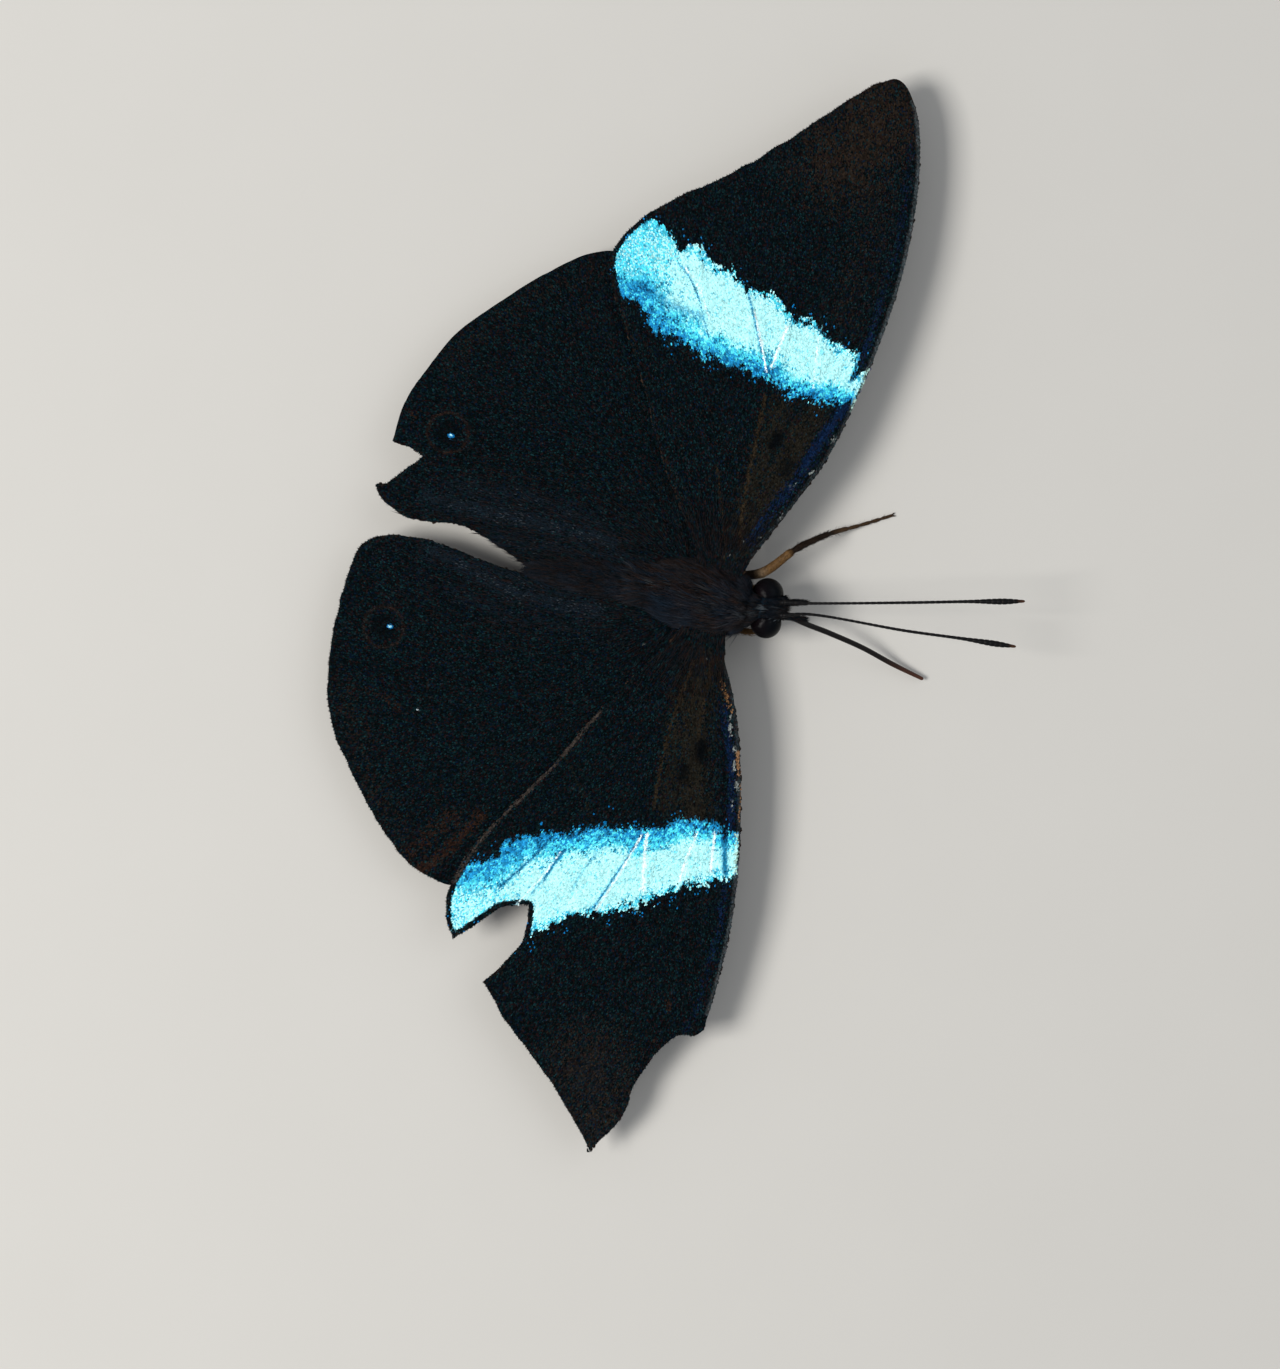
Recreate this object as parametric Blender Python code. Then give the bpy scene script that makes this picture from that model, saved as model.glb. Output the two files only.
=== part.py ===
"""A butterfly feeding with its wings spread flat, at life size.

Places are written as (side, ahead, up) in millimetres. Side is positive towards the
butterfly's own left, ahead is positive towards its head, and up starts at the floor.
In the scene side is +X, ahead is -Y and up is +Z, in metres, and the middle of the
model's box stands on the origin.
"""
import math

import bmesh
import bpy
import numpy as np
from mathutils.geometry import delaunay_2d_cdt

MM = 0.001

# Gap between neighbours that touch on the animal
GAP = 0.3

# Body
THORAX_SIDE = 0.6
THORAX_UP = 4.6
THORAX_HALF_WIDTH = 2.95
THORAX_HALF_HEIGHT = 2.75
THORAX_HALF_LENGTH = 4.15
THORAX_CUT = 3.7
THORAX_OVAL = 2.4
THORAX_RINGS = 12
THORAX_FLANK_CAP = 0.9
ABDOMEN_FRONT = (0.5, -THORAX_CUT - GAP, 4.4)
ABDOMEN_REAR = (-0.6, -14.8, 4.0)
ABDOMEN_HALF_WIDTH = 1.6
ABDOMEN_WIDEST = 0.35
ABDOMEN_SHRINK = 0.7
ABDOMEN_SEGMENTS = 8
ABDOMEN_GROOVE = 0.06

# Head, turned a little to the left
HEAD_CENTRE = (1.1, 5.5, 4.9)
HEAD_TURN = math.radians(10)
HEAD_HALF = (1.7, 1.75, 1.65)
HEAD_REAR_CUT = 1.5
HEAD_FLANK = 0.95
HEAD_RINGS = 10
EYE_HALF = (1.3, 1.3, 1.4)
EYE_RINGS = 7
EYE_LAST_RING = 0.985
EYE_SIDES = 20

# Wings
WING_THICKNESS = 0.5
WING_ROOT_UP = 5.4
WING_SPACING = 1.1
WING_REACH = 46.0
DROOP_LEFT = 1.7
DROOP_RIGHT = 2.5
DROOP_REAR = 1.3
HIND_REACH = 29.0
OUTLINE_STEP = 1.7
VEIN_STEP = 2.8
VEIN_HALF_WIDTH = 0.3
VEIN_HEIGHT = 0.2
VEIN_TAPER = 0.5
VEIN_CLEARANCE = 0.6
VEIN_FEWEST_POINTS = 4
VEIN_LAST_SHARE = 0.3
MEMBRANE_GRID = 4.5
GRID_CLEARANCE = 1.1
FOREWING_ROOT = (2.4, -0.7)
FOREWING_ROOT_POINTS = 4
HINDWING_ROOT = (-0.5, -3.3)
HINDWING_ROOT_POINTS = 4
HINDWING_INNER_EDGE = (-4.5, -14.2)
HINDWING_INNER_POINTS = 8

# Three landmarks of each wing: hinge, outer front corner, rear corner
FORE_MARKS_LEFT = ((3.9, 1.6), (46.3, 5.6), (26.4, -14.2))
FORE_MARKS_RIGHT = ((-2.7, 1.6), (-48.5, 4.9), (-28.3, -14.6))
HIND_MARKS_LEFT = ((3.6, -1.8), (27.0, -15.0), (3.0, -28.7))
HIND_MARKS_RIGHT = ((-2.4, -1.8), (-27.7, -16.5), (-1.9, -29.2))

# Wing edges, from the front of the root round to its rear, as smooth stretches that
# meet in corners
FOREWING_LEFT_EDGE = (
    ((4.9, 3.3), (9.7, 5.5), (14.4, 7.4), (20.0, 8.6), (26.8, 9.5), (33.0, 9.7),
     (40.2, 8.9), (44.7, 7.4), (46.5, 5.6), (45.9, 3.7), (43.0, 0.8), (39.0, -2.9),
     (35.6, -6.4), (32.8, -10.0), (30.2, -12.6), (26.9, -14.3), (24.4, -13.9),
     (18.5, -10.3), (10.5, -5.9), (4.6, -1.8)),
)
FOREWING_RIGHT_EDGE = (
    ((-3.9, 3.1), (-7.0, 4.7), (-11.3, 6.3), (-18.0, 8.0), (-24.9, 9.0), (-30.5, 9.1),
     (-34.3, 8.9)),
    ((-34.3, 8.9), (-35.1, 8.2), (-35.5, 7.0), (-37.0, 5.9), (-40.0, 4.7),
     (-43.0, 4.3), (-46.8, 2.2)),
    ((-46.8, 2.2), (-43.9, -0.4), (-40.6, -3.9), (-37.6, -7.5), (-34.8, -10.2)),
    ((-34.8, -10.2), (-33.0, -9.0), (-30.6, -7.8), (-27.8, -7.9)),
    ((-27.8, -7.9), (-28.6, -9.7), (-30.3, -11.3), (-32.2, -13.1)),
    ((-32.2, -13.1), (-31.4, -13.9), (-29.4, -14.7), (-26.8, -14.6), (-23.0, -13.2),
     (-16.5, -9.3), (-9.5, -5.7), (-3.4, -1.8)),
)
HINDWING_LEFT_EDGE = (
    ((5.5, -0.8), (12.5, -1.9), (19.5, -5.0), (24.5, -9.0), (27.0, -13.2),
     (26.4, -15.8), (23.8, -19.2), (20.6, -22.3), (17.3, -25.1), (13.9, -26.8),
     (10.4, -28.0), (7.1, -28.2)),
    ((7.1, -28.2), (6.8, -27.0), (6.4, -25.7)),
    ((6.4, -25.7), (5.1, -26.8), (3.8, -27.9)),
    ((3.8, -27.9), (3.4, -28.8), (2.4, -28.4), (1.2, -26.3), (1.0, -23.8),
     (1.4, -20.7), (0.5, -17.5), (-0.35, -15.4)),
)
HINDWING_RIGHT_EDGE = (
    ((-4.5, -0.8), (-12.5, -1.9), (-19.5, -4.8), (-25.0, -9.2), (-27.6, -13.6),
     (-27.3, -17.8), (-24.8, -21.2), (-20.9, -24.8), (-17.0, -27.7), (-13.0, -29.0),
     (-8.3, -29.4), (-4.2, -29.3), (-1.7, -28.8), (-0.3, -26.5), (0.0, -23.4),
     (-0.4, -18.9), (-0.8, -15.4)),
)

# Main veins, drawn on the left wings and carried to the right ones by the landmarks
FOREWING_VEINS = (
    ((5.0, 2.9), (9.8, 4.9), (14.5, 6.8), (20.1, 8.0), (26.8, 8.9), (33.0, 9.1),
     (39.8, 8.3), (43.8, 7.0)),
    ((4.4, 1.9), (12.0, 4.7), (19.0, 6.9), (25.5, 8.5)),
    ((4.3, 1.2), (12.0, 3.3), (20.5, 5.0), (27.0, 5.9), (34.5, 6.5), (45.0, 6.3)),
    ((15.0, 4.0), (22.5, 6.5), (30.5, 8.6)),
    ((22.5, 5.3), (29.0, 7.1), (37.0, 8.4)),
    ((34.5, 6.5), (40.0, 5.6), (45.4, 3.7)),
    ((20.5, 5.0), (31.0, 3.8), (42.2, 0.6)),
    ((20.5, 5.0), (20.9, 2.6), (19.9, 0.8)),
    ((20.6, 1.6), (25.0, 1.5), (32.0, 0.2), (39.5, -1.9)),
    ((19.9, 0.8), (25.9, -2.2), (36.2, -5.2)),
    ((4.2, 0.4), (11.0, -0.9), (16.5, -0.6), (19.9, 0.8)),
    ((16.5, -0.6), (22.4, -4.7), (33.2, -9.0)),
    ((11.0, -0.9), (18.5, -6.4), (29.7, -12.4)),
    ((4.0, -0.3), (11.5, -4.9), (19.0, -9.3), (25.6, -13.2)),
)
HINDWING_VEINS = (
    ((3.9, -1.3), (12.0, -3.4), (20.0, -7.0), (25.6, -11.8)),
    ((3.8, -2.1), (10.0, -4.9), (18.0, -10.3), (25.8, -15.3)),
    ((10.0, -4.9), (16.0, -11.6), (22.8, -19.6)),
    ((10.0, -4.9), (11.3, -8.0), (15.0, -14.2), (19.3, -22.8)),
    ((11.3, -8.0), (10.6, -10.2)),
    ((10.6, -10.2), (13.2, -17.4), (15.4, -25.2)),
    ((3.6, -2.8), (7.2, -6.6), (10.6, -10.2), (11.2, -18.0), (11.4, -27.0)),
    ((7.2, -6.6), (7.6, -15.0), (7.0, -24.8)),
    ((3.4, -3.5), (4.2, -12.0), (4.2, -20.0), (3.4, -27.2)),
    ((2.9, -4.3), (3.0, -10.0), (2.3, -17.0)),
)

# Feelers and mouthparts: (side, ahead, up, radius) along each one after its base
ANTENNA_LEFT = ((2.3, 8.8, 6.6, 0.25), (4.4, 17.0, 7.3, 0.25), (5.6, 21.5, 7.6, 0.26),
                (6.3, 24.3, 7.7, 0.33), (6.7, 25.9, 7.8, 0.26))
ANTENNA_RIGHT = ((1.4, 8.9, 6.6, 0.25), (2.0, 17.0, 7.2, 0.25), (2.5, 21.7, 7.4, 0.26),
                 (2.75, 24.5, 7.5, 0.33), (2.9, 26.1, 7.6, 0.26))
PROBOSCIS = ((0.7, 8.7, 3.7, 0.25), (0.4, 11.1, 3.0, 0.25), (-0.1, 14.2, 1.9, 0.25),
             (-0.8, 17.0, 1.0, 0.25), (-1.4, 19.9, 0.55, 0.22))
ANTENNA_BASE = (0.42, 0.95, 1.15)
ANTENNA_BASE_RADIUS = 0.28
PALP_BASE = (0.68, 1.35, -0.35)
PALP_TIP = (0.72, 3.5, 0.15)
PALP_RADIUS = 0.37
PALP_TIP_RADIUS = 0.15
PROBOSCIS_BASE = (0.0, 1.1, -1.15)
PROBOSCIS_BASE_RADIUS = 0.27

# Legs: where each one leaves the thorax, then (side, ahead, up, radius) along it
TOE_UP = 0.11
TOE_RADIUS = 0.3
LEG_BASE_RADIUS = 0.4
LEG_BASE_CLEARANCE = 0.1
HIP_LENGTH = 0.5
LEGS = {
    "leg_mid_left": (1, 1.3, 48, (
        (3.9, 4.4, 3.5, 0.38), (6.3, 6.5, 4.1, 0.34), (7.4, 7.7, 3.3, 0.27),
        (8.8, 9.6, 1.4, 0.26), (9.7, 11.2, 0.5, 0.25), (10.6, 12.7, TOE_UP, TOE_RADIUS),
        (11.4, 14.0, TOE_UP, TOE_RADIUS))),
    "leg_mid_right": (-1, 1.0, 48, (
        (-4.2, 2.6, 3.3, 0.38), (-6.5, 3.4, 3.7, 0.34), (-7.9, 3.7, 2.8, 0.27),
        (-9.6, 4.0, 1.3, 0.26), (-10.9, 4.1, 0.5, 0.25), (-12.1, 4.1, TOE_UP, TOE_RADIUS),
        (-13.5, 4.0, TOE_UP, TOE_RADIUS))),
    "leg_hind_left": (1, -1.7, 55, (
        (3.6, -3.6, 2.9, 0.38), (5.3, -6.0, 3.0, 0.34), (6.3, -7.4, 2.2, 0.27),
        (7.5, -9.2, 1.1, 0.26), (8.3, -10.4, 0.5, 0.25), (9.0, -11.6, TOE_UP, TOE_RADIUS),
        (9.7, -12.9, TOE_UP, TOE_RADIUS))),
    "leg_hind_right": (-1, -1.7, 55, (
        (-2.4, -3.7, 2.9, 0.38), (-4.2, -6.2, 3.0, 0.34), (-5.3, -7.6, 2.2, 0.27),
        (-6.6, -9.4, 1.1, 0.26), (-7.5, -10.6, 0.5, 0.25), (-8.3, -11.8, TOE_UP, TOE_RADIUS),
        (-9.1, -13.1, TOE_UP, TOE_RADIUS))),
}
FORELEGS = {
    "foreleg_left": (1, 2.3, 62, (
        (2.5, 3.6, 2.3, 0.3), (2.4, 5.2, 2.6, 0.28), (1.9, 6.4, 2.5, 0.25))),
    "foreleg_right": (-1, 2.3, 62, (
        (-1.2, 3.6, 2.3, 0.3), (-0.9, 5.2, 2.6, 0.28), (-0.2, 6.4, 2.5, 0.25))),
}

# Fineness of the round forms
BODY_SIDES = 24
TUBE_SIDES = 8
TUBE_STEP = 1.5
SMOOTH_ANGLE = math.radians(40)

# Colours, roughness
FINISHES = {
    "wing_scales": ((0.012, 0.009, 0.009), 0.7),
    "body_fur": ((0.03, 0.02, 0.015), 0.9),
    "eye": ((0.03, 0.02, 0.02), 0.25),
    "antenna_shell": ((0.015, 0.01, 0.008), 0.45),
    "leg_shell": ((0.30, 0.18, 0.09), 0.5),
    "proboscis_shell": ((0.09, 0.03, 0.02), 0.4),
}


def clear_scene():
    """Remove whatever objects the file already holds."""
    for old in list(bpy.data.objects):
        bpy.data.objects.remove(old, do_unlink=True)


def finish(name):
    """The material of one finish, made the first time that it is asked for."""
    if name in bpy.data.materials:
        return bpy.data.materials[name]
    colour, roughness = FINISHES[name]
    material = bpy.data.materials.new(name)
    material.use_nodes = True
    shader = material.node_tree.nodes["Principled BSDF"]
    shader.inputs["Base Color"].default_value = (*colour, 1)
    shader.inputs["Roughness"].default_value = roughness
    return material


def add_solid(name, vertices, faces, finish_name, smooth=True):
    """Turn (side, ahead, up) rows into a closed mesh object with outward faces."""
    rows = np.asarray(vertices, float) * np.array([MM, -MM, MM])
    mesh = bpy.data.meshes.new(name)
    mesh.from_pydata(rows.tolist(), [], [list(map(int, face)) for face in faces])
    shape = bmesh.new()
    shape.from_mesh(mesh)
    bmesh.ops.recalc_face_normals(shape, faces=shape.faces)
    shape.to_mesh(mesh)
    shape.free()
    if smooth:
        mesh.shade_smooth()
        mesh.set_sharp_from_angle(angle=SMOOTH_ANGLE)
    mesh.materials.append(finish(finish_name))
    solid = bpy.data.objects.new(name, mesh)
    bpy.context.scene.collection.objects.link(solid)
    return solid


def smooth_path(points, step):
    """Sample a curve through the points: cubic pieces whose slopes at each point are
    the average of its two neighbouring chords, weighted by the root of their lengths."""
    knots = np.array(points, float)
    chords = np.diff(knots, axis=0)
    lengths = np.linalg.norm(chords[:, :3], axis=1)
    spans = np.sqrt(lengths)[:, None]
    slopes = chords / spans
    inner = (slopes[:-1] * spans[1:] + slopes[1:] * spans[:-1]) / (spans[:-1] + spans[1:])
    tangents = np.vstack([slopes[:1], inner, slopes[-1:]])
    pieces = []
    for i, length in enumerate(lengths):
        count = max(1, round(length / step))
        t = np.arange(count)[:, None] / count
        start = (1 + 2 * t) * (1 - t) ** 2 * knots[i] + t ** 2 * (3 - 2 * t) * knots[i + 1]
        bend = t * (1 - t) ** 2 * tangents[i] - t ** 2 * (1 - t) * tangents[i + 1]
        pieces.append(start + bend * spans[i])
    return np.vstack(pieces + [knots[-1:]])


def ring_faces(rings, sides):
    """Quads between rings of equal count, with a fan to a last point at each end."""
    faces = []
    for ring in range(rings - 1):
        for side in range(sides):
            following = (side + 1) % sides
            faces.append((ring * sides + side, ring * sides + following,
                          (ring + 1) * sides + following, (ring + 1) * sides + side))
    first_end = rings * sides
    for side in range(sides):
        following = (side + 1) % sides
        faces.append((following, side, first_end))
        faces.append(((rings - 1) * sides + side, (rings - 1) * sides + following,
                      first_end + 1))
    return faces


def tube(name, path, finish_name, on_floor=False):
    """A tube along (side, ahead, up, radius) rows, pressed flat where it meets the floor."""
    rows = smooth_path(path, TUBE_STEP)
    centres, radii = rows[:, :3], rows[:, 3]
    tangents = np.gradient(centres, axis=0)
    tangents /= np.linalg.norm(tangents, axis=1)[:, None]
    upward = np.array([0, 0, 1.0]) - tangents[:, 2:3] * tangents
    upward /= np.linalg.norm(upward, axis=1)[:, None]
    sideways = np.cross(tangents, upward)
    angles = (np.arange(TUBE_SIDES) + 0.5) * 2 * math.pi / TUBE_SIDES
    rings = (centres[:, None]
             + radii[:, None, None] * (np.cos(angles)[None, :, None] * upward[:, None]
                                       + np.sin(angles)[None, :, None] * sideways[:, None]))
    vertices = np.vstack([rings.reshape(-1, 3), centres[:1], centres[-1:]])
    if on_floor:
        vertices[:, 2] = np.maximum(vertices[:, 2], 0)
    return add_solid(name, vertices, ring_faces(len(rows), TUBE_SIDES), finish_name)


def lofted_body(name, stations, finish_name):
    """Oval rings across the body at (side, ahead, up, half width, half height) rows."""
    rows = np.array(stations, float)
    angles = np.arange(BODY_SIDES) * 2 * math.pi / BODY_SIDES
    side = rows[:, 0:1] + rows[:, 3:4] * np.cos(angles)
    up = rows[:, 2:3] + rows[:, 4:5] * np.sin(angles)
    ahead = np.repeat(rows[:, 1:2], BODY_SIDES, axis=1)
    rings = np.stack([side, ahead, up], axis=2).reshape(-1, 3)
    vertices = np.vstack([rings, rows[:1, :3], rows[-1:, :3]])
    return add_solid(name, vertices, ring_faces(len(rows), BODY_SIDES), finish_name)


def thorax_taper(ahead):
    """Share of the thorax's full width and height at a place along it, an oval."""
    return (1 - np.abs(ahead / THORAX_HALF_LENGTH) ** THORAX_OVAL) ** (1 / THORAX_OVAL)


def thorax_flank(ahead, up):
    """Half width of the thorax at a place along it and a height above the floor."""
    taper = thorax_taper(ahead)
    rise = (up - THORAX_UP) / (THORAX_HALF_HEIGHT * taper)
    return THORAX_HALF_WIDTH * taper * np.sqrt(1 - np.minimum(rise ** 2, THORAX_FLANK_CAP))


def build_thorax():
    """Oval rings, closer together towards the two cut ends."""
    stations = []
    for ahead in THORAX_CUT * np.sin(np.linspace(-math.pi / 2, math.pi / 2, THORAX_RINGS)):
        taper = thorax_taper(ahead)
        stations.append((THORAX_SIDE, ahead, THORAX_UP, THORAX_HALF_WIDTH * taper,
                         THORAX_HALF_HEIGHT * taper))
    return lofted_body("thorax", stations, "body_fur")


def abdomen_half_width(along):
    """Half width of the abdomen at a share of its length: an oval, widest near its front."""
    return ABDOMEN_HALF_WIDTH * np.sqrt(1 - ((along - ABDOMEN_WIDEST) / ABDOMEN_SHRINK) ** 2)


def abdomen_flank(ahead, direction):
    """Side place of the abdomen's flank, with the gap to its neighbour added."""
    along = (ahead - ABDOMEN_FRONT[1]) / (ABDOMEN_REAR[1] - ABDOMEN_FRONT[1])
    middle = ABDOMEN_FRONT[0] + along * (ABDOMEN_REAR[0] - ABDOMEN_FRONT[0])
    return middle + direction * (abdomen_half_width(along) + GAP)


def build_abdomen():
    """Rings that draw in at each joint between two segments."""
    front, rear = np.array(ABDOMEN_FRONT), np.array(ABDOMEN_REAR)
    stations = []
    for step in range(2 * ABDOMEN_SEGMENTS + 1):
        along = step / (2 * ABDOMEN_SEGMENTS)
        half = abdomen_half_width(along) * (1 - ABDOMEN_GROOVE * (step % 2 == 0))
        stations.append((*(front + along * (rear - front)), half, half))
    return lofted_body("abdomen", stations, "body_fur")


def head_place(across, forward, rise):
    """A place given in the turned head's own directions."""
    return (HEAD_CENTRE[0] + across * math.cos(HEAD_TURN) + forward * math.sin(HEAD_TURN),
            HEAD_CENTRE[1] - across * math.sin(HEAD_TURN) + forward * math.cos(HEAD_TURN),
            HEAD_CENTRE[2] + rise)


def ellipsoid_points(half, segments, rings, cut_low, cut_high):
    """Rings of an ellipsoid round its first axis, between two places along that axis."""
    start = math.asin(cut_low / half[0])
    end = math.asin(cut_high / half[0])
    tilt = np.linspace(start, end, rings)[:, None]
    angles = np.arange(segments)[None, :] * 2 * math.pi / segments
    across = half[0] * np.sin(tilt) + 0 * angles
    forward = half[1] * np.cos(tilt) * np.cos(angles)
    rise = half[2] * np.cos(tilt) * np.sin(angles)
    points = np.stack([across, forward, rise], axis=2).reshape(-1, 3)
    ends = np.array([[half[0] * math.sin(start), 0, 0], [half[0] * math.sin(end), 0, 0]])
    return np.vstack([points, ends])


def build_head():
    """An oval cut flat where each eye sits and where the neck meets it."""
    points = ellipsoid_points(HEAD_HALF, BODY_SIDES, HEAD_RINGS, -HEAD_FLANK, HEAD_FLANK)
    points[:, 1] = np.maximum(points[:, 1], -HEAD_REAR_CUT)
    vertices = [head_place(*point) for point in points]
    return add_solid("head", vertices, ring_faces(HEAD_RINGS, BODY_SIDES), "body_fur")


def build_eye(name, direction):
    """A dome over the flat side of the head."""
    points = ellipsoid_points(EYE_HALF, EYE_SIDES, EYE_RINGS, 0, EYE_LAST_RING * EYE_HALF[0])
    points[-1, 0] = EYE_HALF[0]
    points[:, 0] += HEAD_FLANK + GAP
    vertices = [head_place(direction * across, forward, rise)
                for across, forward, rise in points]
    return add_solid(name, vertices, ring_faces(EYE_RINGS, EYE_SIDES), "eye")


def head_surface(direction):
    """Where a line from the head's centre leaves it, moved out by the gap."""
    line = np.array(direction, float)
    reach = 1 / np.linalg.norm(line / np.array(HEAD_HALF))
    return head_place(*(line * (reach + GAP / np.linalg.norm(line))))


def build_head_parts():
    """Feelers, palps and proboscis, each standing on the head's own surface."""
    for name, direction, path in (("antenna_left", 1, ANTENNA_LEFT),
                                  ("antenna_right", -1, ANTENNA_RIGHT)):
        across, forward, rise = ANTENNA_BASE
        base = head_surface((direction * across, forward, rise))
        tube(name, ((*base, ANTENNA_BASE_RADIUS),) + path, "antenna_shell")
    for name, direction in (("palp_left", 1), ("palp_right", -1)):
        across, forward, rise = PALP_BASE
        base = head_surface((direction * across, forward, rise))
        tip = head_place(direction * PALP_TIP[0], *PALP_TIP[1:])
        middle = (np.array(base) + np.array(tip)) / 2
        path = ((*base, PALP_RADIUS), (*middle, PALP_RADIUS), (*tip, PALP_TIP_RADIUS))
        tube(name, path, "body_fur")
    base = head_surface(PROBOSCIS_BASE)
    tube("proboscis", ((*base, PROBOSCIS_BASE_RADIUS),) + PROBOSCIS, "proboscis_shell")


def build_leg(name, direction, ahead, slope, path, on_floor):
    """A leg whose base faces the thorax a given number of degrees below its side."""
    angle = math.radians(slope)
    taper = float(thorax_taper(ahead))
    across = THORAX_HALF_WIDTH * taper * math.cos(angle)
    drop = THORAX_HALF_HEIGHT * taper * math.sin(angle)
    outward = np.array([direction * math.cos(angle), 0, -math.sin(angle)])
    surface = np.array([THORAX_SIDE + direction * across, ahead, THORAX_UP - drop])
    base = surface + outward * (GAP + LEG_BASE_CLEARANCE)
    hip = base + outward * HIP_LENGTH
    rows = ((*base, LEG_BASE_RADIUS), (*hip, LEG_BASE_RADIUS)) + path
    tube(name, rows, "leg_shell", on_floor)


def wing_level(side, ahead, droop):
    """Height between fore and hind wing: lower towards the tip and towards the rear."""
    out = np.abs(side - THORAX_SIDE) / WING_REACH
    back = np.clip(-ahead, 0, None) / HIND_REACH
    return WING_ROOT_UP - droop * out ** 1.5 - DROOP_REAR * back ** 1.3


def carry(points, marks, new_marks):
    """Move points with the flat map that takes three landmarks to three others."""
    old, new = np.array(marks, float), np.array(new_marks, float)
    weights = np.linalg.solve((old[1:] - old[0]).T, (np.array(points) - old[0]).T).T
    return new[0] + weights @ (new[1:] - new[0])


def inside(points, outline):
    """Even-odd test of points against a closed outline."""
    x, y = points[:, 0:1], points[:, 1:2]
    ax, ay = outline[:, 0], outline[:, 1]
    bx, by = np.roll(ax, -1), np.roll(ay, -1)
    spans = (ay > y) != (by > y)
    crossing = ax + (y - ay) * (bx - ax) / np.where(by == ay, 1, by - ay)
    return np.count_nonzero(spans & (x < crossing), axis=1) % 2 == 1


def distance_to_line(points, line):
    """Distance from each point to a line of points, and how far along it that is."""
    start, chord = line[:-1], np.diff(line, axis=0)
    offset = points[:, None] - start[None]
    share = np.clip((offset * chord).sum(2) / (chord ** 2).sum(1), 0, 1)
    distances = np.linalg.norm(offset - share[..., None] * chord, axis=2)
    nearest = distances.argmin(1)
    rows = np.arange(len(points))
    along = (nearest + share[rows, nearest]) / len(chord)
    return distances[rows, nearest], along


def clipped_vein(points, outline):
    """The part of a vein from its root on that keeps clear of the wing's edge."""
    line = smooth_path(points, VEIN_STEP)
    border = np.vstack([outline, outline[:1]])
    fine = smooth_path(points, VEIN_CLEARANCE / 2)
    keep = inside(fine, outline) & (distance_to_line(fine, border)[0] > VEIN_CLEARANCE)
    last = len(fine) if keep.all() else max(np.argmin(keep), 0)
    if last < VEIN_FEWEST_POINTS:
        return None
    reach = distance_to_line(fine[last - 1:last], line)[1][0] * (len(line) - 1)
    whole = int(reach)
    kept = line[:whole + 1]
    if reach > whole + VEIN_LAST_SHARE:
        kept = np.vstack([kept, fine[last - 1:last]])
    return kept


def membrane(outline, veins):
    """Triangles over the outline that follow both sides and the crest of every vein."""
    points = [outline]
    edges = []
    count = len(outline)
    edges += [(i, (i + 1) % count) for i in range(count)]
    for vein in veins:
        direction = np.gradient(vein, axis=0)
        direction /= np.linalg.norm(direction, axis=1)[:, None]
        normal = np.stack([-direction[:, 1], direction[:, 0]], axis=1) * VEIN_HALF_WIDTH
        for line in (vein, vein + normal, vein - normal):
            edges += [(count + i, count + i + 1) for i in range(len(line) - 1)]
            points.append(line)
            count += len(line)
    low, high = outline.min(0), outline.max(0)
    grid = np.stack(np.meshgrid(np.arange(low[0], high[0], MEMBRANE_GRID),
                                np.arange(low[1], high[1], MEMBRANE_GRID)), axis=2)
    grid = grid.reshape(-1, 2)
    free = inside(grid, outline)
    for line in [np.vstack([outline, outline[:1]])] + veins:
        free &= distance_to_line(grid, line)[0] > GRID_CLEARANCE
    points.append(grid[free])
    flat, _, triangles, *_ = delaunay_2d_cdt(np.vstack(points).tolist(), edges, [], 1, 1e-4)
    return np.array([tuple(point) for point in flat]), np.array(triangles)


def build_wing(name, stretches, root, veins, droop, rise):
    """A thin sheet of one thickness with raised veins on both faces."""
    runs = [smooth_path(stretch, OUTLINE_STEP)[:-1] for stretch in stretches]
    outline = np.vstack(runs + [np.array(stretches[-1][-1:], float), root])
    lines = [vein for vein in (clipped_vein(points, outline) for points in veins)
             if vein is not None]
    flat, triangles = membrane(outline, lines)
    ridge = np.zeros(len(flat))
    for line in lines:
        away, along = distance_to_line(flat, line)
        crest = VEIN_HEIGHT * (1 - VEIN_TAPER * along)
        ridge = np.maximum(ridge, crest * np.clip(1 - away / VEIN_HALF_WIDTH, 0, 1))
    middle = wing_level(flat[:, 0], flat[:, 1], droop) + rise
    half = WING_THICKNESS / 2
    above = np.column_stack([flat, middle + half + ridge])
    below = np.column_stack([flat, middle - half - ridge / 2])
    count = len(flat)
    sides = {}
    for a, b, c in triangles:
        for edge in ((a, b), (b, c), (c, a)):
            sides[edge] = sides.get(edge, 0) + 1
    walls = [(a, b, b + count, a + count) for a, b in sides if (b, a) not in sides]
    faces = triangles.tolist() + (triangles[:, ::-1] + count).tolist() + walls
    return add_solid(name, np.vstack([above, below]), faces, "wing_scales", smooth=False)


def forewing_root(direction):
    """The forewing's root edge, along the upper flank of the thorax, rear to front."""
    ahead = np.linspace(FOREWING_ROOT[1], FOREWING_ROOT[0], FOREWING_ROOT_POINTS)
    low = WING_ROOT_UP + WING_SPACING / 2 - WING_THICKNESS / 2
    side = THORAX_SIDE + direction * (thorax_flank(ahead, low) + GAP)
    return np.column_stack([side, ahead])


def hindwing_root(direction):
    """The hindwing's inner edge, along the abdomen and then the thorax, rear to front."""
    abdomen = np.linspace(HINDWING_INNER_EDGE[1], HINDWING_INNER_EDGE[0],
                          HINDWING_INNER_POINTS)
    thorax = np.linspace(HINDWING_ROOT[1], HINDWING_ROOT[0], HINDWING_ROOT_POINTS)
    flank = THORAX_SIDE + direction * (thorax_flank(thorax, THORAX_UP) + GAP)
    return np.vstack([np.column_stack([abdomen_flank(abdomen, direction), abdomen]),
                      np.column_stack([flank, thorax])])


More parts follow.
